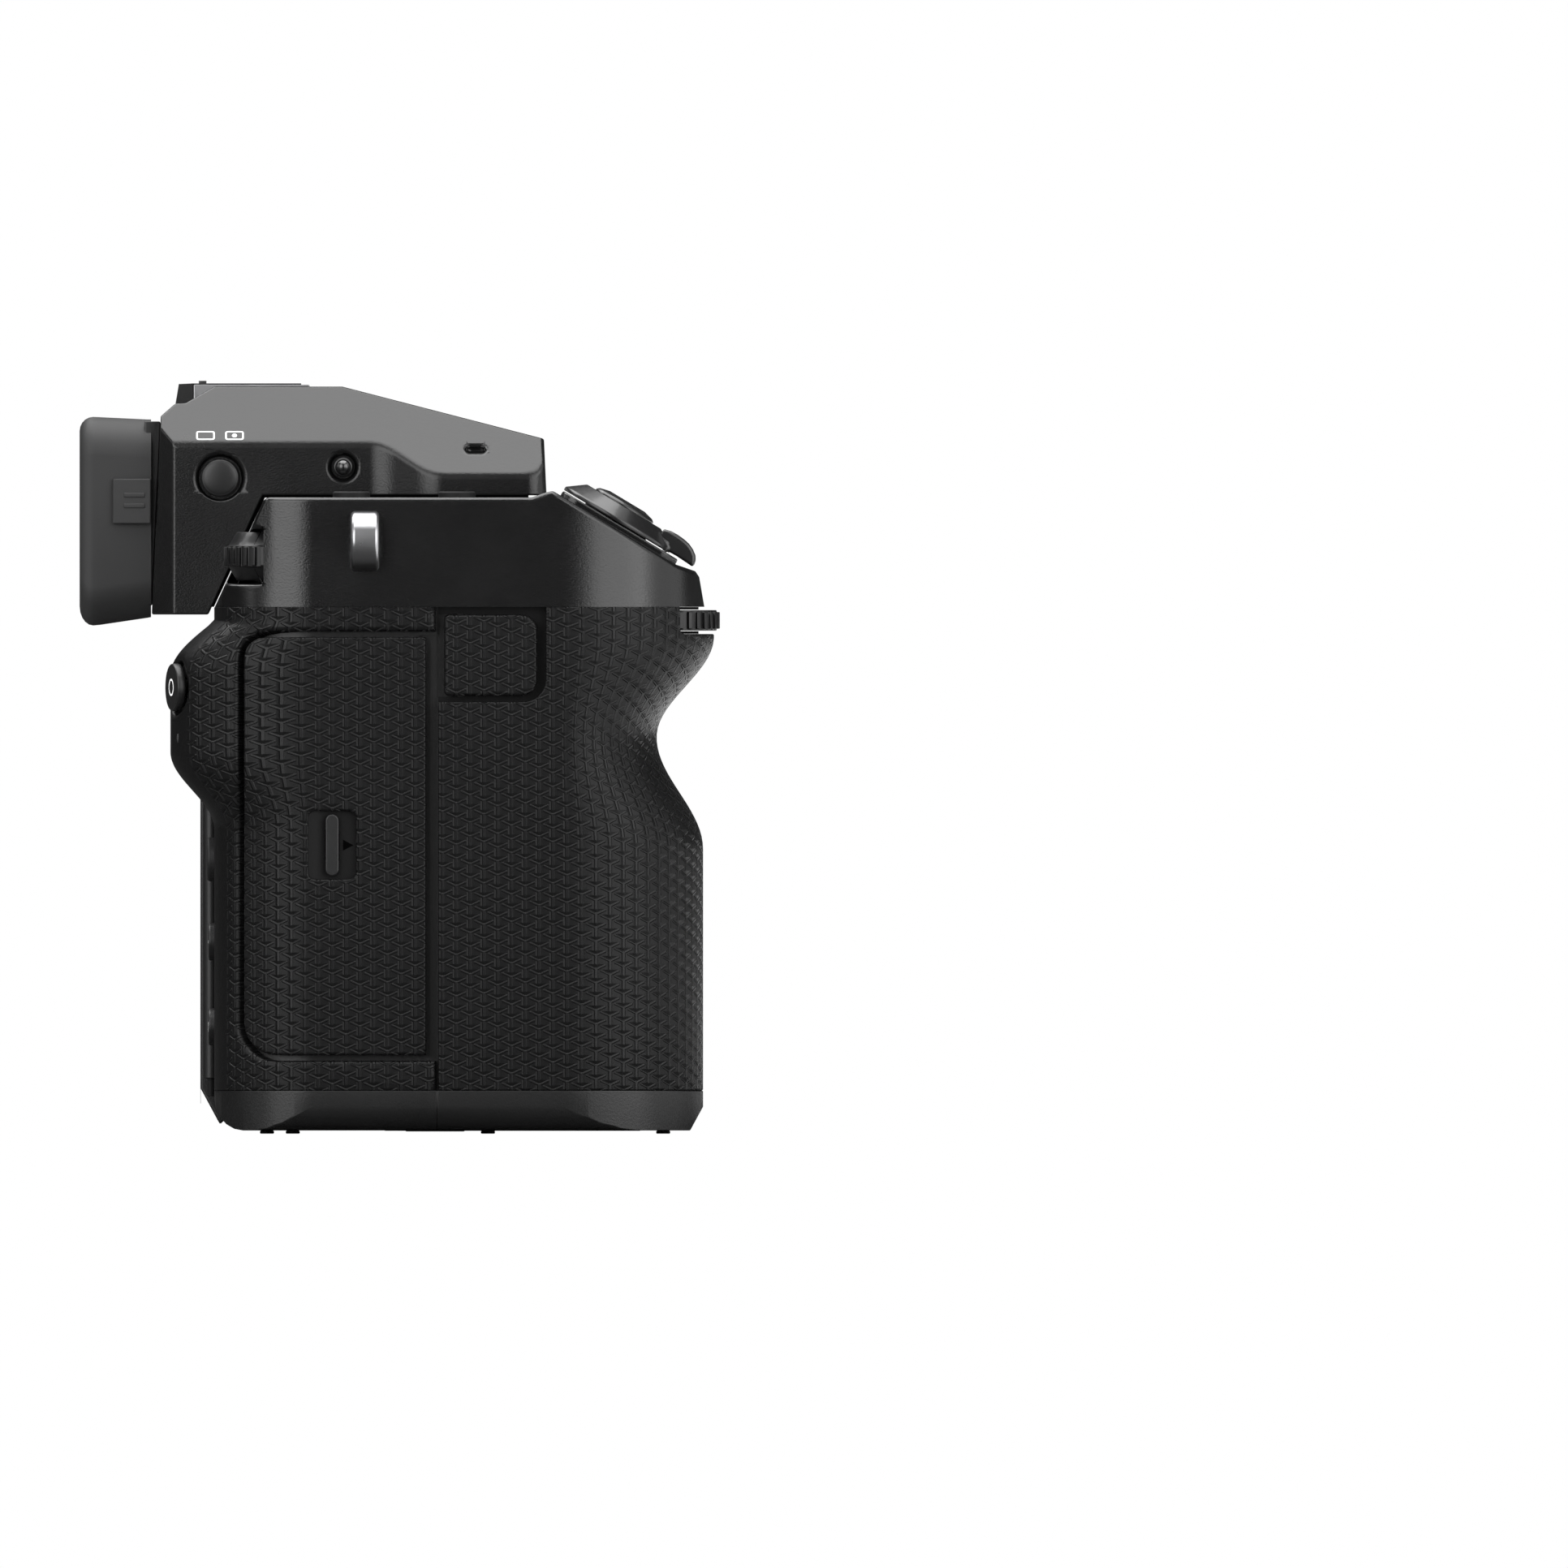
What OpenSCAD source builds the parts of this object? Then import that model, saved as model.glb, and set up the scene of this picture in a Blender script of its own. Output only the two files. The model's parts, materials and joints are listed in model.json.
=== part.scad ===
// Medium format digital camera, an assembly of separate parts in one frame.
// Millimetres. X runs across the body with the hand grip at -X, the lens looks along -Y, Z is up.
// The foot pads stand on Z = 0.

/* [Body] */
// Width between the two side faces
body_w = 142.4; // [138:0.2:148]
// Rear face behind the origin
rear_y = 28.8; // [27:0.1:31]
// Front face ahead of the origin
front_y = 18.5; // [17.5:0.1:20]
// Joint between the front and rear covers, ahead of the origin
split_y = 5.8; // [5.2:0.1:6.6]
// Height of the foot pads
foot_h = 0.5; // [0.4:0.05:0.8]
// Height of the painted base trim
trim_h = 6.2; // [5.6:0.1:7]
// Height of the rubber covered band
waist_h = 75.1; // [73:0.1:78]
// Height of the top cover
shoulder_h = 17; // [16:0.1:18.5]
// Wall of the cast covers
wall = 1.8; // [1.5:0.1:2.2]
// Thickness of the rubber covering
skin_t = 2; // [1.8:0.1:2.3]
// Corner radius behind the card door
rear_r = 15.4; // [13:0.1:17]
// Corner radius on the port side
left_r = 9; // [7:0.1:11]

/* [Grip] */
// Reach of the lower grip ahead of the origin
grip_reach = 47.1; // [45:0.1:49]
// Reach of the finger hook under the front dial
grip_hook = 48.8; // [47:0.1:50]
// Reach at the finger recess
grip_waist = 39.9; // [39:0.1:43]
// Height of the finger recess
grip_waist_z = 61.6; // [59:0.1:64]
// Width of the grip
grip_w = 36.2; // [35:0.1:38]
// Rise of the thumb rest behind the rear face
thumb_rise = 6.8; // [5:0.1:8]

/* [Lens mount] */
// Lens axis to the port side of the middle
lens_x = 8; // [7:0.1:9]
// Lens axis height
lens_z = 47; // [46.5:0.1:48]
// Seating face of the mount ahead of the origin
flange_y = 26.5; // [26:0.1:27.5]
// Outside diameter of the mount flange
mount_d = 78; // [77:0.1:78.6]
// Bore that takes the lens spigot
pilot_d = 69.8; // [69:0.1:70.4]
// Opening inside the bayonet tabs
throat_d = 65; // [64:0.1:66]

/* [Sensor] */
// Width of the shutter gate
gate_w = 44.6; // [44:0.1:45.4]
// Height of the shutter gate
gate_h = 33.6; // [33:0.1:34.4]

/* [Viewfinder] */
// Height of the viewfinder roof over the top cover
evf_rise = 17.2; // [16:0.1:18.5]
// Width of the housing at the eyepiece end
evf_rear_w = 54; // [52:0.2:56]
// Width of the housing at the lens end
evf_front_w = 63.4; // [62:0.2:65]
// Width of the flat roof
roof_w = 37; // [35:0.2:39]
// Rear face of the housing behind the origin
evf_rear_y = 38.5; // [37.5:0.1:40]
// Front face of the housing ahead of the origin
evf_front_y = 22.8; // [22:0.1:23.5]
// Rear edge of the eyecup behind the origin
eyecup_y = 49.7; // [48:0.1:52]
// Width of an accessory foot in its shoe
shoe_w = 18.2; // [18:0.1:18.5]
// Thickness of an accessory foot
shoe_t = 1.9; // [1.7:0.05:2]

/* [Doors] */
// Rear edge of the card door behind the origin
card_y = 24.3; // [22:0.1:25]
// Lower edge of the card door
card_z0 = 12.2; // [11:0.1:14]
// Upper edge of the card door
card_z1 = 77.1; // [75:0.1:77.5]
// Width of the battery
battery_w = 21; // [20:0.1:22]
// Depth of the battery from front to back
battery_d = 37; // [36:0.1:38]
// Height of the battery
battery_h = 52; // [48:0.1:54]

/* [Controls] */
// Diameter of the front and mode dials' grip ring
dial_d = 18; // [17:0.1:19]
// Thickness of the front dial
dial_t = 3.2; // [2.8:0.1:3.4]
// Diameter of the rear dial
thumb_dial_d = 18; // [17:0.1:19]
// Diameter of the mode dial
mode_d = 22; // [20:0.1:24]
// Diameter of the shutter button
shutter_d = 10.3; // [9.8:0.1:10.8]
// Diameter of the power collar
collar_d = 18.8; // [18:0.1:19.6]
// Diameter of the function buttons
button_d = 5.8; // [5.2:0.1:6.2]
// Travel of the buttons
press = 0.6; // [0.4:0.05:0.8]

/* [Screen] */
// Width of the rear screen
lcd_w = 82; // [79:0.2:84]
// Height of the rear screen
lcd_h = 62.2; // [60:0.2:63]
// Rear face of the screen behind the rear cover
lcd_proud = 2.1; // [1.6:0.1:2.6]

/* [Fits] */
// Open joint between parts that move past each other
gap = 0.3; // [0.25:0.01:0.4]
// Radial clearance of a running shaft
run_fit = 0.05; // [0.03:0.01:0.09]

/* [Hidden] */
$fn = 48;
side_x = body_w / 2;
base_z = foot_h;
waist_z0 = base_z + trim_h;
waist_z1 = waist_z0 + waist_h;
deck_z = waist_z1 + shoulder_h;
inset = skin_t + wall;
edge_r = 6;
wall_y = front_y - skin_t;
inner_y = front_y - inset;
floor_z = base_z + wall;

grip_in = side_x - grip_w;
nose_x = side_x - 0.53 * grip_w;
nose_y0 = front_y + 6.5;
nose_y1 = front_y + 14.5;
bend_z = waist_z0 + 37.5;
hook_z = waist_z1 - 4.6;
rubber_x = grip_in + 3;
thumb_z = [47.3, 59.3, waist_z1 - 10.6, waist_z1 - 2.2];

ridge_y = 23.8;
ridge_h = 1;
deck_a = 31;
lip_y = grip_reach - 4.4;
lip_z = deck_z + ridge_h - (lip_y - ridge_y) * tan(deck_a);
top_reach = grip_reach + 0.2;
brow_y = evf_front_y - 0.2;
brow_w = evf_front_w + 1;
rear_top_y = rear_y - 7.9;
rear_a = atan2(rear_y - 0.1 - rear_top_y, shoulder_h);

dial_y = grip_hook - 8.1;
dial_z = waist_z1 - 0.5 - dial_t;
dial_post_r = 1.5;
notch_y = dial_y + 2.8;
shutter_y = ridge_y + 9.2;
shutter_z = deck_z + ridge_h - 9.2 * tan(deck_a);
plinth_h = 0.8;
plinth = [19, 14.6];
plinth_y = -4;
bush_r = shutter_d / 2 + gap;
stem_r = 2;
collar_h = 2.6;
bush_h = plinth_h + 1.6;
cap_h = 1.35;

seat_r = pilot_d / 2 + 1.9;
pilot_h = 1.7;
boss_r = mount_d / 2 + 1.2;
boss_y = flange_y - 2.3;
lock_a = 225;
lock_p = [lens_x + (mount_d / 2 - 2) * cos(lock_a), lens_z + (mount_d / 2 - 2) * sin(lock_a)];
release_ring = mount_d / 2 + 8.4;
release_p = [lens_x + release_ring * cos(lock_a), lens_z + release_ring * sin(lock_a)];
release_r = 4.6;
contact_z = lens_z - throat_d / 2 + 0.6;
lock_r = 1.4;
shutter_frame = [gate_w + 25.4, gate_h + 22.4];
blade_h = gate_h / 4;
glass = [gate_w + 3.4, gate_h + 3.4];
tripod_r = 3.175;
tripod_y = 5.5;
tripod_top = floor_z + 3.7;

battery_x = nose_x + battery_w / 2;
battery_y0 = grip_waist - skin_t - 1.6 - gap;
battery_z0 = floor_z + gap + 0.2;
bay = 0.4;
hatch = [battery_w + 8, battery_d + 3];
hatch_x = nose_x + hatch[0] / 2;
hatch_y = battery_y0 + 1.5;
hatch_pin = [-hatch_x + hatch[0] - 1.4, base_z + 0.95];

door_t = skin_t - gap;
hinge_r = 1.2;
card_axis = [-side_x + 1.6, -split_y + 2.5];
card_front = card_axis[1] - 0.8;
latch_y = 10.5;
latch_z = card_z1 - 32.3;
latch_w = [7.4, 10.6];
latch_bar = [2.1, 9.6];
remote_y = [split_y + 1.1, split_y + 15.6];
remote_z = [waist_z1 - 13.8, waist_z1 - 1.2];
remote_axis = [-side_x + 1.4, -remote_y[0] - 1.1];
remote_hinge_r = 1.05;
jack = [-mix(remote_y[0], remote_y[1], 0.33), mix(remote_z[0], remote_z[1], 0.5), 2.6];
slots_y = [3, 13];
slots_z = [22, 66];
port_y = [-split_y + 1.2, rear_y - left_r - 1.5];
port_front = port_y[0] + 1.3;
port_upper = [46, 74];
port_lower = [14, 42.6];
port_axis = [side_x - 1.5, port_front + 0.6];
port_hinge_r = 1.1;

lcd_x0 = -rubber_x + 6;
lcd_x1 = lcd_x0 + lcd_w;
lcd_z0 = base_z + 1.1;
lcd_z1 = lcd_z0 + lcd_h;
lcd_back = rear_y + lcd_proud;
lcd_front = lcd_back - 4.7;
well_y = lcd_front - 3;
swing_axis = [lcd_x0 - 3.2, lcd_back - 1.6];
swing_r = 1.2;
tilt_axis = [lcd_front - 1.5, lcd_z0 + 2.9];
lift_axis = [lcd_back - 1.4, lcd_z1 - 1.7];

evf_z0 = waist_z1 - 1.2;
evf_z1 = deck_z + gap;
evf_top = deck_z + evf_rise;
evf_x0 = lens_x - evf_rear_w / 2;
evf_lean = 1.4;
shoe_y = [14, 32];
shoe_z = evf_top - 3.6;
rail_y = [-4, 15];
rail_z = deck_z - shoe_t - 2.35;
rail_half = shoe_w / 2 + 1.4;
neck = 12;
eye_z = [evf_z0 + 1.4, evf_top - 5.4];
pocket = [28, 22];
pocket_z = evf_z1 - 0.6;
pocket_y = evf_rear_y - 7.6;
eyecup_w = 46.6;
eyecup_tab = [pocket_z - 3.9, pocket_z + 3.2];
view_p = [rear_y - 0.9, deck_z + 3];
view_r = 2.92;
free_p = [rear_y - 20, deck_z + 4.7];
free_r = 1.5;
mic_p = [-11.8, deck_z + 7.4];

sub_p = [-side_x + 28.2, 0];
sub_w = 30;
fn_x = -side_x + 6.7;
fn_y = [7.5, -8.9];
fn_flange = 0.5;
mode_p = [side_x - 15.2, 2];
mode_post = 3;
mode_lock_r = 2;
thumb_dial_p = [-side_x + 11.2, rear_y - 10.5, waist_z1 + 7.85];
thumb_dial_t = 3.3;
thumb_cone = 2.2;
thumb_axle_r = 1.2;
thumb_room = thumb_dial_t + 2 * thumb_cone + 0.8;
lug = [5, 4.4, 9.2];
lug_p = [rear_y - 23.4, deck_z - 6.8];
lug_r = 1.6;
tilt_x = [lcd_x0 + 9, lcd_x1 - 9];
screw_r = mount_d / 2 - 1.6;
screw_a = [0, 60, 120, 180, 240, 300];
deck_button_x = -nose_x + 12.6;
rear_x = -nose_x + 5;
stick_z = 42.6;
menu_z = 29.8;
display_z = 16.6;
q_t = 79;
q_p = [rear_r - side_x - rear_r * cos(q_t),
    rear_y - rear_r + (rear_r + thumb_rise) * sin(q_t), thumb_z[2] - 1.9];
q_a = atan2((rear_r + thumb_rise) * cos(q_t), rear_r * sin(q_t));
q_r = 3.7;
q_stem_r = 1.2;
q_sink = 1.8;
q_stem_y = -thumb_rise - inset - 1;
stick_r = 4;
af_p = [-rubber_x + 7, mix(lcd_z1, waist_z1, 7 / 12)];
play_p = [lens_x + 34, mix(lcd_z1, waist_z1, 1 / 2)];
throat_rim = 0.3;
chassis_z = lens_z + throat_d / 2 + throat_rim;

function arc(c, r, a0, a1, n = 8) =
    [for (i = [0:n]) let (a = a0 + (a1 - a0) * i / n) c + r * [cos(a), sin(a)]];
function rrect(w, h, r, n = 4) = concat(
    arc([w / 2 - r, h / 2 - r], r, 0, 90, n),
    arc([r - w / 2, h / 2 - r], r, 90, 180, n),
    arc([r - w / 2, r - h / 2], r, 180, 270, n),
    arc([w / 2 - r, r - h / 2], r, 270, 360, n));
function ease(t) = (1 - cos(180 * t)) / 2;
function mix(a, b, t) = a + (b - a) * t;
function ramp(z, z0, z1) = ease(min(1, max(0, (z - z0) / (z1 - z0))));
function at_z(path, z) = [for (p = path) [p[0], p[1], z]];

// Outline of the body without its grip, d inside the outer faces
function body_plan(d) = concat(
    arc([-side_x + rear_r, rear_y - rear_r], rear_r - d, 180, 90),
    arc([side_x - left_r, rear_y - left_r], left_r - d, 90, 0),
    arc([side_x - left_r, left_r - front_y], left_r - d, 0, -90),
    arc([-side_x + edge_r, edge_r - front_y], edge_r - d, -90, -180, 4));

// Outline of the grip nose from the side face round to its inner face
function nose(reach, d, n = 8) = concat(
    [for (i = [0:n]) let (t = 90 * i / n)
        [-nose_x - (side_x - nose_x - d) * cos(t), -nose_y0 - (reach - nose_y0 - d) * sin(t)]],
    [for (i = [n - 1:-1:0]) let (t = 90 * i / n)
        [-nose_x + (nose_x - grip_in - d) * cos(t), -nose_y1 - (reach - nose_y1 - d) * sin(t)]]);

// Reach of the grip front at a height: straight, finger recess, hook under the dial
function reach_at(z) = z < grip_waist_z
    ? mix(grip_reach, grip_waist, ramp(z, bend_z, grip_waist_z))
    : mix(grip_waist, grip_hook, ramp(z, grip_waist_z, hook_z));
grip_levels = concat([waist_z0],
    [for (i = [0:6]) mix(bend_z, grip_waist_z, i / 6)],
    [for (i = [1:6]) mix(grip_waist_z, hook_z, i / 6)],
    [waist_z1]);

// Rear face of the thumb side at a height, with the swell of the thumb rest
function thumb_fall(z) = (thumb_z[3] - z) / (thumb_z[3] - thumb_z[2]);
function swell_at(z) = rear_y
    + thumb_rise * ramp(z, thumb_z[0], thumb_z[1]) * sin(90 * min(1, max(0, thumb_fall(z))));
thumb_levels = concat([waist_z0, thumb_z[0]],
    [for (i = [1:5]) mix(thumb_z[0], thumb_z[1], i / 5)],
    [for (i = [0:8]) mix(thumb_z[2], thumb_z[3], i / 8)],
    [waist_z1]);

// Corner of the thumb side from the rear face round to the side face
function thumb_corner(z, d, n = 8) = [for (i = [0:n]) let (t = 90 - 90 * i / n)
    [rear_r - side_x - (rear_r - d) * cos(t),
     rear_y - rear_r + (swell_at(z) - rear_y + rear_r - d) * sin(t)]];
function thumb_out(z) = concat(
    [[-rubber_x, rear_y], [-rubber_x - 6 * ramp(z, thumb_z[0] - 6, thumb_z[0]) - 0.2, swell_at(z)]],
    thumb_corner(z, 0), [[-side_x, -split_y]]);
function thumb_in(z) = concat(
    [[-rubber_x, rear_y - skin_t], [-rubber_x - 3, rear_y - skin_t]],
    [for (p = arc([rear_r - side_x, rear_y - rear_r], rear_r - skin_t, 90, 180)) p],
    [[-side_x + skin_t, -split_y]]);

// Solid strip between an outer and an inner path, carried up through levels
module strip_loft(outer, inner) {
    k = len(outer);
    n = len(outer[0]);
    pts = concat([for (l = outer) each l], [for (l = inner) each l]);
    o = k * n;
    faces = concat(
        [for (j = [0:k - 2], i = [0:n - 2]) each [
            [j * n + i, (j + 1) * n + i, (j + 1) * n + i + 1],
            [j * n + i, (j + 1) * n + i + 1, j * n + i + 1],
            [o + j * n + i, o + (j + 1) * n + i + 1, o + (j + 1) * n + i],
            [o + j * n + i, o + j * n + i + 1, o + (j + 1) * n + i + 1]]],
        [for (i = [0:n - 2]) let (t = (k - 1) * n) each [
            [i, i + 1, o + i + 1],
            [i, o + i + 1, o + i],
            [t + i, o + t + i + 1, t + i + 1],
            [t + i, o + t + i, o + t + i + 1]]],
        [for (j = [0:k - 2]) let (a = j * n, b = (j + 1) * n, c = n - 1) each [
            [a, o + a, o + b],
            [a, o + b, b],
            [a + c, o + b + c, o + a + c],
            [a + c, b + c, o + b + c]]]);
    polyhedron(pts, faces);
}

// Keeps a lofted form and the openings cut in it as one moulding
module moulded() resize([0, 0, 0]) children();

module along_x(x0, x1) translate([x0, 0, 0]) rotate([90, 0, 90]) linear_extrude(x1 - x0) children();
module along_y(y0, y1) translate([0, y1, 0]) rotate([90, 0, 0]) linear_extrude(y1 - y0) children();
module along_z(z0, z1) translate([0, 0, z0]) linear_extrude(z1 - z0) children();
module rod_x(x0, x1, y, z, r) translate([x0, y, z]) rotate([0, 90, 0]) cylinder(h = x1 - x0, r = r);
module rod_y(x, y0, y1, z, r) translate([x, y0, z]) rotate([-90, 0, 0]) cylinder(h = y1 - y0, r = r);
module rod_z(x, y, z0, z1, r) translate([x, y, z0]) cylinder(h = z1 - z0, r = r);
module box(a, b) translate(a) cube(b - a);
module front_half() box([-100, -100, -20], [100, -split_y, 140]);
module rear_half() box([-100, -split_y, -20], [100, 100, 140]);
// Stands a part on the sloping deck over the shutter axis
module on_deck(x = -nose_x) translate([x, -shutter_y, shutter_z]) rotate([deck_a, 0, 0]) children();
// Stands a button in the turned face of the thumb rest, with its own Y axis pointing out
module on_thumb() translate(q_p) rotate([0, 0, q_a]) children();

module base_block() intersection() {
    along_z(base_z, waist_z0) union() {
        polygon(body_plan(0));
        polygon(concat([[-side_x, 0]], nose(grip_reach, 0), [[-grip_in, 0]]));
    }
    along_x(-side_x - 1, side_x + 1) polygon(concat(
        [[rear_y, waist_z0 + 1]],
        [for (i = [0:5]) let (t = 18 * i)
            [rear_y - 4.5 + 4.5 * cos(t), base_z + 5.2 - 5.2 * sin(t)]],
        [[2 - grip_reach, base_z], [-grip_reach, base_z + 3.7], [-grip_reach, waist_z0 + 1]]));
    along_y(-60, 40) polygon(concat(
        [[side_x, waist_z0 + 1]],
        [for (i = [0:4]) let (t = 22.5 * i) [side_x - 3 + 3 * cos(t), base_z + 3.8 - 3.8 * sin(t)]],
        [for (i = [4:-1:0]) let (t = 22.5 * i) [3 - side_x - 3 * cos(t), base_z + 3.8 - 3.8 * sin(t)]],
        [[-side_x, waist_z0 + 1]]));
}

// Openings shared by both halves of the shell
module shell_openings() {
    along_z(floor_z, waist_z1 + 1) polygon(body_plan(inset));
    box([-hatch_x - gap, -hatch_y - gap, base_z - 1],
        [-hatch_x + hatch[0] + gap, -hatch_y + hatch[1] + gap, floor_z + 0.01]);
    rod_y(hatch_pin[0], -hatch_y - 1.6, -hatch_y + hatch[1] + 1.6, hatch_pin[1], 0.45 + run_fit);
    rod_z(lens_x, -tripod_y, base_z - 1, floor_z + 1, 4.7);
}

module front_cover() color("#2b2b2d") difference() {
    union() {
        intersection() {
            base_block();
            front_half();
        }
        intersection() {
            along_z(waist_z0, waist_z1) polygon(body_plan(skin_t));
            front_half();
        }
        rod_y(lens_x, -boss_y, -wall_y, lens_z, boss_r, $fn = 96);
    }
    shell_openings();
    box([-battery_x - bay, -battery_y0 - bay, floor_z - 0.01],
        [-battery_x + battery_w + bay, -inner_y + 1, battery_z0 + battery_h + bay]);
    rod_y(lens_x, -boss_y - 1, -inner_y + 1, lens_z, seat_r, $fn = 96);
    rod_y(lock_p[0], -boss_y - 1, -inner_y + 1, lock_p[1], lock_r + run_fit);
    rod_y(release_p[0], -wall_y - 1, -inner_y + 1, release_p[1], release_r + run_fit);
    rod_z(remote_axis[0], remote_axis[1], remote_z[0] - 0.2, remote_z[1] + 0.2, remote_hinge_r + run_fit);
    box([-side_x, remote_axis[1] - 0.5, remote_z[0] - 0.2], [remote_axis[0] + 1.35, 0, remote_z[1] + 0.2]);
    rod_x(-side_x, -side_x + inset + 1, jack[0], jack[1], jack[2]);
}

module rear_cover() color("#2b2b2d") difference() {
    union() {
        intersection() {
            base_block();
            rear_half();
        }
        intersection() {
            along_z(waist_z0, waist_z1) union() {
                polygon(body_plan(skin_t));
                intersection() {
                    polygon(body_plan(0));
                    translate([-rubber_x, -100]) square(200);
                }
            }
            rear_half();
        }
    }
    difference() {
        shell_openings();
        box([swing_axis[0] - 3.2, well_y - wall, 0], [lcd_x1 + 4, 60, lcd_z1 + 2.6]);
    }
    difference() {
        box([swing_axis[0] - 1.7, well_y, -5], [lcd_x1 + 2, 60, lcd_z1 + 0.9]);
        for (z = [lcd_z0 + 3.5, lcd_z1 - 10.5])
            box([swing_axis[0] - 2, well_y - 1, z], [swing_axis[0] + 1.2, swing_axis[1] + 1.2, z + 3]);
    }
    rod_z(swing_axis[0], swing_axis[1], lcd_z0, lcd_z1, 0.6 + run_fit);
    rod_z(card_axis[0], card_axis[1], card_z0 + 4, card_z1 - 4, hinge_r + run_fit);
    box([-side_x, -split_y - 1, card_z0 - gap], [card_axis[0] + 1, card_axis[1] + 0.3, card_z1 + gap]);
    box([-side_x, slots_y[0] + 0.6, slots_z[0] + 4],
        [-side_x + inset + 0.5, slots_y[1] - 0.6, slots_z[1] - 4]);
    box([-side_x, latch_y - 5, latch_z - 4.5], [-side_x + skin_t + 1.1, latch_y + 4, latch_z + 4.5]);
    for (p = [port_upper, port_lower]) {
        box([side_x - skin_t, port_y[0], p[0]], [side_x + 1, port_y[1], p[1]]);
        box([side_x - inset - 1, port_y[0] + 4, p[0] + 3], [side_x + 1, port_y[1] - 3, p[1] - 3]);
        rod_z(port_axis[0], port_axis[1], p[0], p[1], port_hinge_r + run_fit);
        box([port_axis[0] - 0.9, port_y[0], p[0]], [side_x + 1, port_axis[1], p[1]]);
    }
    for (b = [[rear_x, menu_z], [rear_x, display_z]])
        rod_y(b[0], 0, rear_y + 1, b[1], button_d / 2 + run_fit);
    rod_y(rear_x, rear_y - inset + 0.7, rear_y + 1, stick_z, stick_r + 0.4);
    rod_y(rear_x, 0, rear_y + 1, stick_z, 2.2);
    on_thumb() rod_y(0, q_stem_y - 2, 1, 0, q_stem_r + run_fit);
    for (b = [af_p, play_p])
        rod_y(b[0], rear_y - wall - 8, rear_y + 1, b[1], button_d / 2 + run_fit);
}

module top_plan(d) {
    polygon(body_plan(d));
    polygon(concat([[d - side_x, 0]], nose(top_reach, d), [[-grip_in - d, 0]]));
    translate([lens_x - brow_w / 2 + d, d - brow_y]) square([brow_w - 2 * d, brow_y]);
}

// Side profile of the top cover, from the rear slope to the sloping shutter deck
module top_profile(below = 0) polygon([
    [rear_y - 0.1 + below * tan(rear_a), waist_z1 - below],
    [rear_top_y + 0.2, deck_z - 0.4],
    [rear_top_y - 0.4, deck_z],
    [3.3 - ridge_y, deck_z],
    [1.2 - ridge_y, deck_z + 0.75 * ridge_h],
    [-ridge_y, deck_z + ridge_h],
    [-ridge_y - 1.4, deck_z + ridge_h - 1.4 * tan(deck_a)],
    [-lip_y, lip_z],
    [-lip_y - 3.2, lip_z - 1.1],
    [-lip_y - 3.8, lip_z - 2],
    [-top_reach, waist_z1 - below]]);

module top_cover() color("#262628") difference() {
    union() {
        difference() {
            intersection() {
                along_z(waist_z1, deck_z + 5) top_plan(0);
                along_x(-side_x - 1, side_x + 1) top_profile();
            }
            intersection() {
                along_z(waist_z1 + wall, deck_z + 5) top_plan(wall);
                along_x(-side_x - 1, side_x + 1) offset(delta = -wall) top_profile(6);
            }
            along_z(waist_z1 - 1, waist_z1 + wall + 0.01) polygon(body_plan(inset));
        }
        rod_z(-nose_x, -dial_y, dial_z + 0.2, waist_z1 + 1, dial_post_r);
        on_deck() translate([0, plinth_y, -1])
            linear_extrude(plinth_h + 1) polygon(rrect(plinth[0], plinth[1], 3));
        on_deck() cylinder(h = bush_h, r = bush_r);
        rod_z(mode_p[0], mode_p[1], deck_z - 4, deck_z + 4.4, mode_post);
        intersection() {
            for (z = [-1, 1]) translate(thumb_dial_p + [-2, -3, z * (thumb_room / 2 + 0.8) - 0.8])
                cube([6, 12, 1.6]);
            along_x(-side_x, side_x) offset(delta = -0.5) top_profile(3);
        }
        translate(thumb_dial_p - [0, 0, thumb_room / 2 + 1]) cylinder(h = thumb_room + 2, r = thumb_axle_r);
    }
    on_deck() translate([0, 0, -8]) cylinder(h = 20, r = stem_r + run_fit);
    on_deck(deck_button_x) translate([0, 5.5, -8]) cylinder(h = 20, r = 1.2 + run_fit);
    rod_z(mode_p[0], mode_p[1], deck_z - 5, deck_z + 6, mode_lock_r + run_fit);
    translate(thumb_dial_p - [0, 0, thumb_room / 2]) difference() {
        cylinder(h = thumb_room, r = thumb_dial_d / 2 + 0.4);
        translate([0, 0, -10]) cylinder(h = thumb_room + 20, r = thumb_axle_r);
    }
    translate([sub_p[0], sub_p[1], deck_z - 1]) linear_extrude(5) polygon(rrect(sub_w, sub_w, 2));
    translate([sub_p[0], sub_p[1], deck_z - 5])
        linear_extrude(9) polygon(rrect(sub_w - 2.4, sub_w - 2.4, 1.5));
    for (y = fn_y)
        rod_z(fn_x, y, deck_z - 5, deck_z + 5, button_d / 2 + run_fit);
    box([lens_x - rail_half, rail_y[0], rail_z], [lens_x + rail_half, rear_y + 10, deck_z + 5]);
    box([lens_x - evf_front_w / 2 - 0.5, -30, deck_z], [lens_x + evf_front_w / 2 + 0.5, 0, deck_z + 5]);
    rod_y(lens_x, -boss_y - 8, -inner_y + 1, lens_z, boss_r + 0.1, $fn = 96);
}

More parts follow.
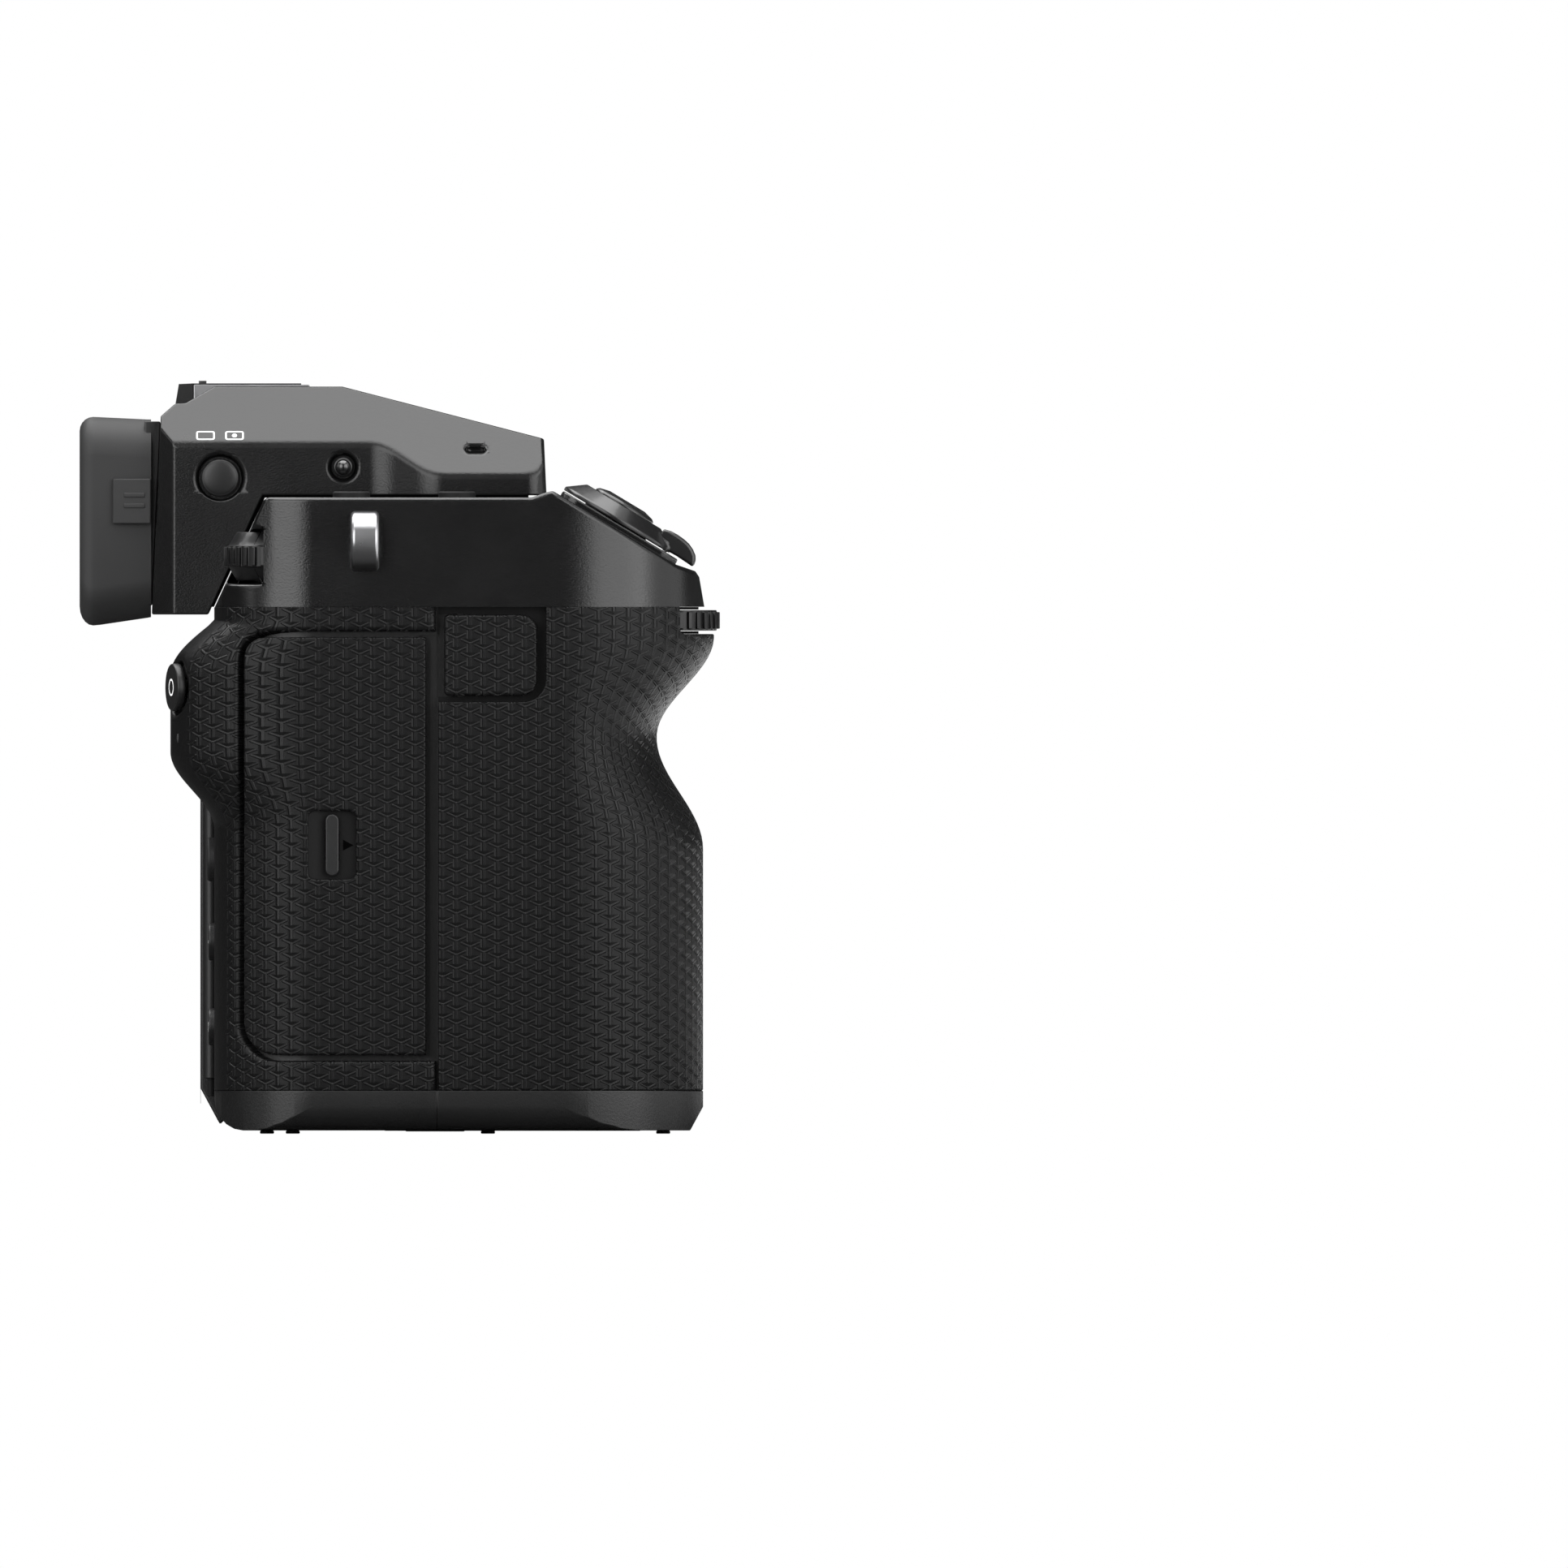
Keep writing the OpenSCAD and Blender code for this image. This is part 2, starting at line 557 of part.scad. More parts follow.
module grip_core() color("#39393c") moulded() difference() {
    strip_loft(
        [for (z = grip_levels) at_z(concat([[skin_t - side_x, -wall_y]], nose(reach_at(z), skin_t),
            [[-grip_in - skin_t, -wall_y]]), z)],
        [for (z = grip_levels) at_z(concat([[skin_t - side_x + 0.6, -wall_y]],
            [for (p = nose(reach_at(z), skin_t)) [mix(-nose_x, p[0], 0.9), -wall_y]],
            [[-grip_in - skin_t - 0.6, -wall_y]]), z)]);
    box([-battery_x - bay, -battery_y0 - bay, 0],
        [-battery_x + battery_w + bay, 0, battery_z0 + battery_h + bay]);
    dial_room(dial_y);
}

// Room for the front dial between the grip and the top cover, open ahead of open_y
module dial_room(open_y) {
    rod_z(-nose_x, -dial_y, dial_z - 0.5, waist_z1 + 1, dial_d / 2 + 0.6);
    box([-side_x, -grip_reach - grip_hook, dial_z - 0.5], [-grip_in, -open_y, waist_z1 + 1]);
}

module grip_cover() color("#1d1d1e") moulded() difference() {
    strip_loft(
        [for (z = grip_levels) at_z(concat([[-side_x, -split_y]], nose(reach_at(z), 0),
            [[-grip_in, -wall_y]]), z)],
        [for (z = grip_levels) at_z(concat([[skin_t - side_x, -split_y]], nose(reach_at(z), skin_t),
            [[-grip_in - skin_t, -wall_y]]), z)]);
    dial_room(notch_y);
    along_x(-side_x - 1, -side_x + skin_t + 1) polygon(concat(
        [[1, waist_z1 + 1], [1, remote_z[0] - 1]],
        arc([3.6 - remote_y[1] - 1.3, remote_z[0] + 2.6], 3.6, 270, 180, 5),
        [[-remote_y[1] - 1.3, waist_z1 + 1]]));
}

// Outline of the card door seen from the side, d outside its edges
function door_outline(d, front = card_front) = concat(
    arc([card_y - 3.2, card_z1 - 3.2], 3.2 + d, 0, 90, 5),
    [[front, card_z1 + d], [front, card_z0 - d]],
    arc([card_y - 5, card_z0 + 5], 5 + d, 270, 360, 5));

module thumb_cover() color("#1d1d1e") moulded() difference() {
    strip_loft(
        [for (z = thumb_levels) at_z(thumb_out(z), z)],
        [for (z = thumb_levels) at_z(thumb_in(z), z)]);
    along_x(-side_x - 1, -side_x + rear_r - 3) polygon(door_outline(2 * gap, -split_y - 1));
    for (z = [menu_z, display_z])
        rod_y(rear_x, 0, rear_y + 20, z, button_d / 2 + gap, $fn = 32);
    rod_y(rear_x, 0, rear_y + 20, stick_z, stick_r + 0.4, $fn = 32);
    on_thumb() rod_y(0, -q_sink, 20, 0, q_r + 0.4, $fn = 32);
    on_thumb() rod_y(0, q_stem_y - 2, 1, 0, q_stem_r + gap, $fn = 24);
}

module side_cover() color("#1d1d1e") intersection() {
    along_z(waist_z0, waist_z1) difference() {
        polygon(body_plan(0));
        polygon(body_plan(skin_t));
    }
    box([lens_x + boss_r + 1.2, -60, 0], [side_x + 1, -split_y, 140]);
}

module tripod_plate() color("#8d8f92") difference() {
    union() {
        rod_z(lens_x, -tripod_y, base_z - 0.15, floor_z + 0.1, 4.6);
        box([lens_x - 16, -tripod_y - 8, floor_z], [lens_x + 16, -tripod_y + 12, tripod_top]);
    }
    rod_z(lens_x, -tripod_y, base_z - 1, tripod_top - 0.6, tripod_r);
}

module feet() color("#161616")
    for (p = [[-side_x + 11, 16.6], [side_x - 9, 16.6], [lens_x - 18, 20.6], [lens_x + 22, 20.6],
              [side_x - 9, -13.7], [-nose_x, -40.9]])
        rod_z(p[0], p[1], 0, base_z, 1.1);

module chassis() color("#77797c") difference() {
    union() {
        box([-grip_in + 1, -inner_y, tripod_top], [lens_x + boss_r + 2, 2.7 - inner_y, chassis_z]);
        box([lens_x - 18, -inner_y, tripod_top], [lens_x + 18, 6 - tripod_y, tripod_top + 2]);
    }
    rod_y(lens_x, -inner_y - 1, 4 - inner_y, lens_z, throat_d / 2, $fn = 96);
    rod_y(release_p[0], -inner_y - 1, 4 - inner_y, release_p[1], release_r + 1.6);
    rod_y(lock_p[0], -inner_y - 1, 4 - inner_y, lock_p[1], lock_r + 0.6);
}

module mount_ring() color("#b9bcc0") difference() {
    translate([lens_x, 0, lens_z]) rotate([90, 0, 0]) union() {
        difference() {
            union() {
                translate([0, 0, boss_y]) cylinder(h = flange_y - boss_y, d = mount_d, $fn = 96);
                translate([0, 0, wall_y + 0.4]) cylinder(h = boss_y - wall_y, r = seat_r - 0.05, $fn = 96);
            }
            translate([0, 0, flange_y - pilot_h]) cylinder(h = 60, d = pilot_d, $fn = 96);
            cylinder(h = 60, d = pilot_d - 1.4, $fn = 96);
        }
        intersection() {
            difference() {
                translate([0, 0, flange_y - pilot_h - 1.6]) cylinder(h = 1.6, d = pilot_d, $fn = 96);
                cylinder(h = 60, d = throat_d, $fn = 96);
            }
            for (a = [20, 140, 260])
                rotate([0, 0, a]) linear_extrude(60) polygon(concat([[0, 0]], arc([0, 0], 50, -26, 26, 6)));
        }
    }
    rod_y(lock_p[0], -flange_y - 1, 0, lock_p[1], lock_r + run_fit);
    for (a = screw_a)
        translate([lens_x + screw_r * cos(a), 0, lens_z + screw_r * sin(a)]) {
            rod_y(0, -flange_y - 1, 1 - flange_y, 0, 1.1);
            rod_y(0, -flange_y - 1, 0, 0, 0.7);
        }
}

module mount_screws() color("#c9ccd0")
    for (a = screw_a)
        translate([lens_x + screw_r * cos(a), 0, lens_z + screw_r * sin(a)]) difference() {
            union() {
                rod_y(0, 0.2 - flange_y, 1 - flange_y, 0, 1.1);
                rod_y(0, 0.9 - flange_y, -boss_y, 0, 0.7);
            }
            for (t = [0, 90])
                translate([0, 0.4 - flange_y, 0]) rotate([0, t, 0]) cube([1.4, 0.6, 0.3], center = true);
        }

module mount_contacts() color("#202022") union() {
    box([lens_x - 9, -wall_y - 6, contact_z - 0.9], [lens_x + 9, -inner_y, contact_z + 1.4]);
    for (i = [0:9])
        rod_y(lens_x - 7.2 + 1.6 * i, -wall_y - 6.6, -wall_y - 5.9, contact_z, 0.5, $fn = 16);
}

module lens_lock_pin() color("#c9ccd0") rod_y(lock_p[0], -flange_y - 1.4, -inner_y - 0.4, lock_p[1], lock_r);

module lens_release() color("#1a1a1c") union() {
    rod_y(release_p[0], -wall_y - 5.4, -wall_y - 4.6, release_p[1], release_r - 0.5);
    rod_y(release_p[0], -wall_y - 4.6, 0.1 - inner_y, release_p[1], release_r);
    rod_y(release_p[0], 0.05 - inner_y, 1 - inner_y, release_p[1], release_r + 0.9);
}

module shutter_unit() color("#1b1b1d") translate([lens_x, 0, lens_z]) difference() {
    along_y(2.7 - inner_y, 7 - inner_y) polygon(rrect(shutter_frame[0], shutter_frame[1], 4));
    along_y(-inner_y, 6.2 - inner_y) square([gate_w, gate_h], center = true);
    for (i = [0:3])
        along_y(5 - inner_y - i, 5.5 - inner_y - i)
            translate([0, blade_h * (1.5 - i)]) square([gate_w + 1.4, blade_h - 0.8], center = true);
}

module image_sensor() color("#2c3a33") translate([lens_x, 0, lens_z]) union() {
    along_y(8.6 - inner_y, 13 - inner_y) polygon(rrect(glass[0] + 16, glass[1] + 15, 3));
    along_y(7 - inner_y, 8.6 - inner_y) difference() {
        polygon(rrect(glass[0] + 12, glass[1] + 11, 3));
        square([glass[0] + 0.2, glass[1] + 0.2], center = true);
    }
}

module sensor_glass() color("#5f7d77") translate([lens_x, 0, lens_z])
    along_y(7.4 - inner_y, 8.6 - inner_y) square(glass, center = true);

module main_board() color("#1f4a33") difference() {
    union() {
        box([-24, 8, tripod_top + 6], [side_x - 15, 9.6, lcd_z1]);
        for (x = [-18, side_x - 21], z = [tripod_top + 12, lcd_z1 - 6])
            rod_y(x, 9.5, well_y - wall, z, 2);
        box([2, 9.5, 20], [24, 11.6, 42]);
        box([30, 9.5, 40], [44, 11, 56]);
        box([-18, 9.5, 44], [-4, 11, 54]);
    }
    for (x = [-18, side_x - 21], z = [tripod_top + 12, lcd_z1 - 6])
        rod_y(x, 7, 12, z, 1);
}

module battery() color("#2a2a2c") difference() {
    box([-battery_x, -battery_y0, battery_z0],
        [-battery_x + battery_w, -battery_y0 + battery_d, battery_z0 + battery_h]);
    for (i = [0:3])
        translate([-battery_x + 3 + 3 * i, -battery_y0 + 2, battery_z0 + battery_h - 1]) cube([1.6, 6, 3]);
}

module battery_door() color("#2b2b2d") difference() {
    union() {
        box([-hatch_x, -hatch_y, base_z], [hatch_pin[0], -hatch_y + hatch[1], floor_z - 0.1]);
        rod_y(hatch_pin[0], -hatch_y, -hatch_y + hatch[1], hatch_pin[1], 0.8);
        rod_y(hatch_pin[0], -hatch_y - 1.3, -hatch_y + hatch[1] + 1.3, hatch_pin[1], 0.45);
    }
    translate([-hatch_x + 5, -hatch_y + hatch[1] / 2, base_z - 1])
        linear_extrude(1.9) polygon(rrect(7, 12, 1.5));
}

module battery_latch() color("#d0d0d2")
    translate([-hatch_x + 4, -hatch_y + hatch[1] / 2, base_z + 0.1])
        linear_extrude(0.7) polygon(rrect(4, 11, 1));

module card_slots() color("#303033") difference() {
    box([-side_x + inset, slots_y[0], slots_z[0]], [-grip_in - 4, slots_y[1], slots_z[1]]);
    box([-side_x, slots_y[0] + 1.4, slots_z[0] + 6],
        [-side_x + inset + 24, slots_y[0] + 5.3, slots_z[0] + 36.4]);
    box([-side_x, slots_y[1] - 3.4, slots_z[0] + 9],
        [-side_x + inset + 20, slots_y[1] - 1.1, slots_z[0] + 33.4]);
}

function door_path(z, d) = concat(
    [[-rubber_x, swell_at(z) - d]], thumb_corner(z, d), [[d - side_x, -split_y]]);

module card_door() color("#1d1d1e") moulded() union() {
    difference() {
        intersection() {
            strip_loft(
                [for (z = thumb_levels) at_z(door_path(z, 0), z)],
                [for (z = thumb_levels) at_z(door_path(z, door_t), z)]);
            along_x(-side_x - 1, -side_x + rear_r - 3) polygon(door_outline(0));
        }
        translate([0, latch_y, latch_z])
            along_x(-side_x - 1, -side_x + 1.1) polygon(rrect(latch_w[0], latch_w[1], 1.2));
        box([-side_x, latch_y - 3.4, latch_z - 2.2], [-side_x + 6, latch_y + 1.2, latch_z + 2.2]);
    }
    rod_z(card_axis[0], card_axis[1], card_z0 + 4.2, card_z1 - 4.2, hinge_r, $fn = 32);
}

module card_latch() color("#3a3a3c") union() {
    translate([0, latch_y, latch_z]) {
        along_x(-side_x + 0.1, -side_x + 1) polygon(rrect(latch_bar[0], latch_bar[1], 1));
        box([-side_x + 0.9, -0.9, -2], [-side_x + door_t + 0.3, 0.9, 2]);
        box([-side_x + door_t + 0.2, -2.2, -3.6], [-side_x + door_t + 1, 2.2, 3.6]);
    }
}

module remote_cap() color("#1d1d1e") union() {
    along_x(-side_x, -side_x + door_t) polygon(concat(
        [[-remote_y[0], remote_z[0]], [-remote_y[0], remote_z[1]]],
        arc([2.6 - remote_y[1], remote_z[1] - 2.6], 2.6, 90, 180, 4),
        arc([2.6 - remote_y[1], remote_z[0] + 2.6], 2.6, 180, 270, 4)));
    rod_z(remote_axis[0], remote_axis[1], remote_z[0], remote_z[1], remote_hinge_r);
}

module connectors() color("#4a4a4d") union() {
    for (p = [port_upper, port_lower])
        difference() {
            box([side_x - inset - 10, port_y[0] + 2, p[0] + 1], [side_x - inset, port_y[1] - 1, p[1] - 1]);
            box([side_x - inset - 7, port_y[0] + 7, p[0] + 5], [side_x, port_y[0] + 10.6, p[0] + 19.2]);
            rod_x(side_x - inset - 7, side_x, port_y[1] - 6.5, p[0] + 8, 1.8);
            box([side_x - inset - 7, port_y[1] - 7.8, p[0] + 14], [side_x, port_y[1] - 5.2, p[0] + 22.4]);
        }
    difference() {
        rod_x(-side_x + inset - 0.9, -side_x + inset + 3, jack[0], jack[1], jack[2]);
        rod_x(-side_x, -side_x + inset + 2, jack[0], jack[1], jack[2] / 2);
    }
}

module port_door(p) union() {
    translate([0, mix(port_front, port_y[1] - gap, 0.5), mix(p[0], p[1], 0.5)])
        along_x(side_x - door_t, side_x)
            polygon(rrect(port_y[1] - gap - port_front, p[1] - p[0] - 2 * gap, 0.8));
    rod_z(port_axis[0], port_axis[1], p[0] + gap, p[1] - gap, port_hinge_r);
}

module port_door_upper() color("#1d1d1e") port_door(port_upper);

module port_door_lower() color("#1d1d1e") port_door(port_lower);

module strap_lugs() color("#d8dadd")
    for (s = [-1, 1])
        difference() {
            translate([s * (side_x + lug[0] / 2), 0, lug_p[1]])
                along_y(lug_p[0] - lug[1] / 2, lug_p[0] + lug[1] / 2) polygon(concat(
                    [[-s * lug[0] / 2, -lug[2] / 2], [-s * lug[0] / 2, lug[2] / 2]],
                    [for (p = arc([lug[0] / 2 - 3, lug[2] / 2 - 3], 3, 90, 0, 5)) [s * p[0], p[1]]],
                    [for (p = arc([lug[0] / 2 - 3, 3 - lug[2] / 2], 3, 0, -90, 5)) [s * p[0], p[1]]]));
            rod_y(s * (side_x + 2.5), lug_p[0] - lug[1], lug_p[0] + lug[1], lug_p[1], lug_r);
        }

module sub_monitor() color("#101214") translate([sub_p[0], sub_p[1], 0]) union() {
    along_z(deck_z - 1, deck_z - 0.1) polygon(rrect(sub_w - 0.1, sub_w - 0.1, 1.95));
    along_z(deck_z - 3.6, deck_z - 0.9) polygon(rrect(sub_w - 3, sub_w - 3, 1.2));
}

module shutter_button() color("#202022") on_deck() union() {
    translate([0, 0, bush_h + 0.8]) rotate_extrude() polygon([[0, 0], [shutter_d / 2, 0],
        [shutter_d / 2, 0.6], [shutter_d / 2 - 0.4, 0.95], [shutter_d / 2 - 2, cap_h], [0, cap_h - 0.25]]);
    translate([0, 0, -4]) cylinder(h = bush_h + 5, r = stem_r);
}

module power_lever() color("#202022") on_deck() difference() {
    union() {
        translate([0, 0, plinth_h + 0.2]) rotate_extrude() polygon([[0, 0], [collar_d / 2, 0],
            [collar_d / 2, 0.6], [collar_d / 2 - 0.3, 0.8], [collar_d / 2 - 2.7, collar_h], [0, collar_h]]);
        translate([0, -collar_d / 2, plinth_h]) along_x(-2.6, 2.6) polygon([[2.4, 0.5], [2.3, 3.0],
            [1.2, 3.3], [0, 3.35], [-1.2, 3.25], [-2.2, 3.05], [-3.2, 2.6], [-4, 2], [-4.45, 1.3],
            [-4.6, 0.6], [-4.35, 0.25], [-3.6, 0.3], [-1.5, 0.4], [0.2, 0.35]]);
    }
    translate([0, 0, -5]) cylinder(h = 20, r = bush_r + run_fit);
}

module front_dial() color("#1c1c1e") translate([-nose_x, -dial_y, dial_z]) difference() {
    union() {
        cylinder(h = dial_t, r = dial_d / 2 - 0.5);
        for (i = [0:35])
            rotate([0, 0, 10 * i]) translate([dial_d / 2 - 1, -0.35, 0.3]) cube([1, 0.7, dial_t - 0.6]);
    }
    translate([0, 0, -1]) cylinder(h = dial_t + 2, r = dial_post_r + run_fit);
}

module rear_dial() color("#1c1c1e") translate(thumb_dial_p) difference() {
    union() {
        translate([0, 0, -thumb_dial_t / 2]) cylinder(h = thumb_dial_t, r = thumb_dial_d / 2 - 0.5);
        for (i = [0:35])
            rotate([0, 0, 10 * i]) translate([thumb_dial_d / 2 - 1, -0.35, 0.2 - thumb_dial_t / 2])
                cube([1, 0.7, thumb_dial_t - 0.4]);
        for (s = [0, 1])
            mirror([0, 0, s]) translate([0, 0, thumb_dial_t / 2 - 0.1])
                cylinder(h = thumb_cone, r1 = thumb_dial_d / 2 - 0.7, r2 = thumb_dial_d / 2 - 2);
    }
    translate([0, 0, -10]) cylinder(h = 20, r = thumb_axle_r + run_fit);
}

module mode_dial() color("#1c1c1e") translate([mode_p[0], mode_p[1], deck_z + 0.2]) difference() {
    union() {
        cylinder(h = 5.4, r = mode_d / 2 - 0.5);
        for (i = [0:29])
            rotate([0, 0, 12 * i]) translate([mode_d / 2 - 1, -0.5, 0.8]) cube([1, 1, 4.2]);
    }
    translate([0, 0, -1]) cylinder(h = 5.6, r = mode_post + run_fit);
    translate([0, 0, 4]) cylinder(h = 3, r = mode_lock_r + 0.4);
}

module mode_lock() color("#2a2a2c") rod_z(mode_p[0], mode_p[1], deck_z - 6, deck_z + 6.4, mode_lock_r);

module top_button(y) union() {
    rod_z(fn_x, y, deck_z - wall - 1, deck_z + 0.9, button_d / 2);
    rod_z(fn_x, y, deck_z - wall - 1, deck_z - wall - 0.05, button_d / 2 + fn_flange);
}

module fn_button_rear() color("#1c1c1e") top_button(fn_y[0]);

module fn_button_front() color("#1c1c1e") top_button(fn_y[1]);

module deck_button() color("#1c1c1e") on_deck(deck_button_x) translate([0, 5.5, -wall - 1]) union() {
    cylinder(h = wall + 1.8, r = 1.2);
    cylinder(h = 0.95, r = 1.7);
}

module rear_button(p, r, y0, y1) union() {
    rod_y(p[0], y0, y1, p[1], r);
    rod_y(p[0], y0, y0 + 0.8, p[1], r + 0.5);
}

module q_button() color("#1c1c1e") on_thumb() union() {
    rod_y(0, press + 0.1 - q_sink, 0.3, 0, q_r);
    rod_y(0, q_stem_y, -1, 0, q_stem_r);
}

module af_button() color("#1c1c1e") rear_button(af_p, button_d / 2, rear_y - inset - 0.85, rear_y + 0.9);

module play_button() color("#1c1c1e") rear_button(play_p, button_d / 2, rear_y - inset - 0.85, rear_y + 0.9);

module menu_button() color("#1c1c1e")
    rear_button([rear_x, menu_z], button_d / 2, rear_y - inset - 0.85, rear_y + 0.9);

module display_button() color("#1c1c1e")
    rear_button([rear_x, display_z], button_d / 2, rear_y - inset - 0.85, rear_y + 0.9);

module focus_stick() color("#1c1c1e") translate([rear_x, 0, stick_z]) union() {
    rod_y(0, rear_y - skin_t + 0.4, rear_y + 1.1, 0, stick_r - 0.6);
    rod_y(0, rear_y - inset - 2, rear_y - skin_t + 0.5, 0, 2);
}

module lcd_swing() color("#333336") difference() {
    union() {
        box([swing_axis[0] + 0.3, well_y + 0.3, lcd_z0 + 7], [lcd_x1 - 1, well_y + 1.4, lcd_z1 - 11]);
        box([swing_axis[0] - 0.4, well_y + 0.3, lcd_z0 + 7],
            [swing_axis[0] + 0.6, swing_axis[1], lcd_z1 - 11]);
        rod_z(swing_axis[0], swing_axis[1], lcd_z0 + 7, lcd_z1 - 11, swing_r);
        rod_z(swing_axis[0], swing_axis[1], lcd_z0 + 4.2, lcd_z1 - 8.2, 0.6);
        for (x = tilt_x) {
            box([x - 2, well_y + 0.3, tilt_axis[1]], [x + 2, well_y + 1.4, lcd_z0 + 8]);
            rod_x(x - 2, x + 2, tilt_axis[0], tilt_axis[1], 1.2);
            box([x - 2, well_y + 0.3, tilt_axis[1]], [x + 2, tilt_axis[0], tilt_axis[1] + 1.2]);
        }
    }
    for (x = tilt_x)
        rod_x(x - 3, x + 3, tilt_axis[0], tilt_axis[1], 0.6 + run_fit);
}

module lcd_arm() color("#29292b") union() {
    box([lcd_x0 - 1.4, well_y + 1.7, lcd_z0 + 9], [lcd_x1 + 1.4, well_y + 2.7, lcd_z1 - 6]);
    for (x = tilt_x, s = [-1, 1])
        translate([x + s * 3.2, 0, 0]) {
            box([-1, well_y + 1.7, tilt_axis[1]], [1, well_y + 2.7, lcd_z0 + 9.5]);
            rod_x(-1, 1, tilt_axis[0], tilt_axis[1], 0.95);
        }
    for (x = tilt_x)
        rod_x(x - 3.4, x + 3.4, tilt_axis[0], tilt_axis[1], 0.6);
    for (x = [lcd_x0 - 1.4, lcd_x1 + 0.3])
        difference() {
            box([x, well_y + 1.7, lcd_z1 - 7], [x + 1.1, lcd_back - 0.1, lcd_z1 - 0.2]);
            rod_x(x - 1, x + 3, lift_axis[0], lift_axis[1], 0.6 + run_fit);
        }
}

module lcd_screen() color("#131315") union() {
    along_x(lcd_x0, lcd_x1) polygon([[lcd_front, lcd_z0 + 1.5], [lcd_front + 1.5, lcd_z0],
        [lcd_back - 2.9, lcd_z0], [lcd_back, lcd_z0 + 5.4], [lcd_back, lcd_z1 - 0.8],
        [lcd_back - 0.8, lcd_z1], [lcd_front, lcd_z1]]);
    for (x = [lcd_x0 - 1.3, lcd_x1 - 1])
        rod_x(x, x + 2.3, lift_axis[0], lift_axis[1], 0.6);
}

module evf_rail() color("#9a9ca0") difference() {
    box([lens_x - rail_half, rail_y[0], rail_z], [lens_x + rail_half, rail_y[1], deck_z]);
    box([lens_x - shoe_w / 2 - 0.2, rail_y[0] + 1, rail_z + 0.6],
        [lens_x + shoe_w / 2 + 0.2, rail_y[1] + 1, rail_z + 0.6 + shoe_t + 0.3]);
    box([lens_x - neck / 2 - 0.2, rail_y[0] + 1, rail_z + 0.6],
        [lens_x + neck / 2 + 0.2, rail_y[1] + 1, deck_z + 1]);
}

// Half width of the viewfinder housing at a place along Y
function evf_half(y) = mix(evf_front_w, evf_rear_w, ramp(y, -6.6, 4.7)) / 2;

module evf_body() intersection() {
    along_x(lens_x - 40, lens_x + 40) polygon([
        [evf_rear_y, evf_z0], [evf_rear_y - evf_lean, evf_top - 4.6], [evf_rear_y - 3.7, evf_top - 2.6],
        [rear_y + 4.5, evf_top - 2.6], [rear_y, evf_top], [rear_y - 19.9, evf_top],
        [0.4 - evf_front_y, evf_top - 8.1],
        [-evf_front_y, evf_z1], [rear_top_y + 0.4, evf_z1], [rear_y + 0.9, evf_z0]]);
    along_z(evf_z0 - 1, evf_top + 1) translate([lens_x, 0]) polygon(concat(
        [for (y = [-6.6:1.4:4.7]) [evf_half(y), y]],
        [[evf_rear_w / 2, evf_rear_y - 3.4], [evf_rear_w / 2 - 5, evf_rear_y + 1],
         [5 - evf_rear_w / 2, evf_rear_y + 1], [-evf_rear_w / 2, evf_rear_y - 3.4]],
        [for (y = [4.7:-1.4:-6.6]) [-evf_half(y), y]],
        [for (p = arc([3 - evf_front_w / 2, 3 - evf_front_y], 3, 180, 270, 4)) p],
        [for (p = arc([evf_front_w / 2 - 3, 3 - evf_front_y], 3, 270, 360, 4)) p]));
    translate([lens_x, 0, 0]) along_y(-60, 60) polygon([
        [-40, evf_z0 - 1], [-40, evf_top - (40 - roof_w / 2) / 0.966], [-roof_w / 2, evf_top],
        [roof_w / 2, evf_top], [40, evf_top - (40 - roof_w / 2) / 0.966], [40, evf_z0 - 1]]);
}

module evf_housing() color("#232325") difference() {
    union() {
        evf_body();
        box([lens_x - neck / 2, rail_y[0] + 1.4, rail_z + 0.8 + shoe_t / 2],
            [lens_x + neck / 2, rail_y[1], evf_z1 + 1]);
        box([lens_x - shoe_w / 2, rail_y[0] + 1.4, rail_z + 0.7],
            [lens_x + shoe_w / 2, rail_y[1], rail_z + 0.7 + shoe_t]);
    }
    translate([lens_x, 0, pocket_z]) along_y(pocket_y, 60) polygon(rrect(pocket[0], pocket[1], 3));
    box([lens_x - 12, shoe_y[0] - 1, shoe_z], [lens_x + 12, 60, evf_top + 1]);
    rod_x(-60, evf_x0 + 1.3, view_p[0], view_p[1], 3.53);
    rod_x(-60, evf_x0 + 6, view_p[0], view_p[1], 1.2 + run_fit);
    rod_x(-60, evf_x0 + 1.1, free_p[0], free_p[1], 2.02);
    rod_x(-60, evf_x0 + 5, free_p[0], free_p[1], 0.8 + run_fit);
    rod_x(lens_x + evf_rear_w / 2 - 4, 80, view_p[0], view_p[1] - 1, 1.2 + run_fit);
    translate([0, mic_p[0], mic_p[1]]) along_x(-60, lens_x - roof_w / 2 - 8.5) polygon(rrect(2.8, 0.9, 0.44));
}

function evf_rear_at(z) = mix(evf_rear_y, evf_rear_y - evf_lean, (z - evf_z0) / (evf_top - 4.6 - evf_z0));

module eyepiece_frame() color("#151516") difference() {
    along_x(lens_x - pocket[0] / 2 - 7, lens_x + pocket[0] / 2 + 7) polygon([
        [evf_rear_at(eye_z[0]), eye_z[0]], [evf_rear_at(eye_z[1]), eye_z[1]],
        [evf_rear_y + 1.1, eye_z[1]], [evf_rear_y + 1.1, eye_z[0]]]);
    translate([lens_x, 0, pocket_z]) along_y(0, 60) polygon(rrect(pocket[0], pocket[1], 3));
}

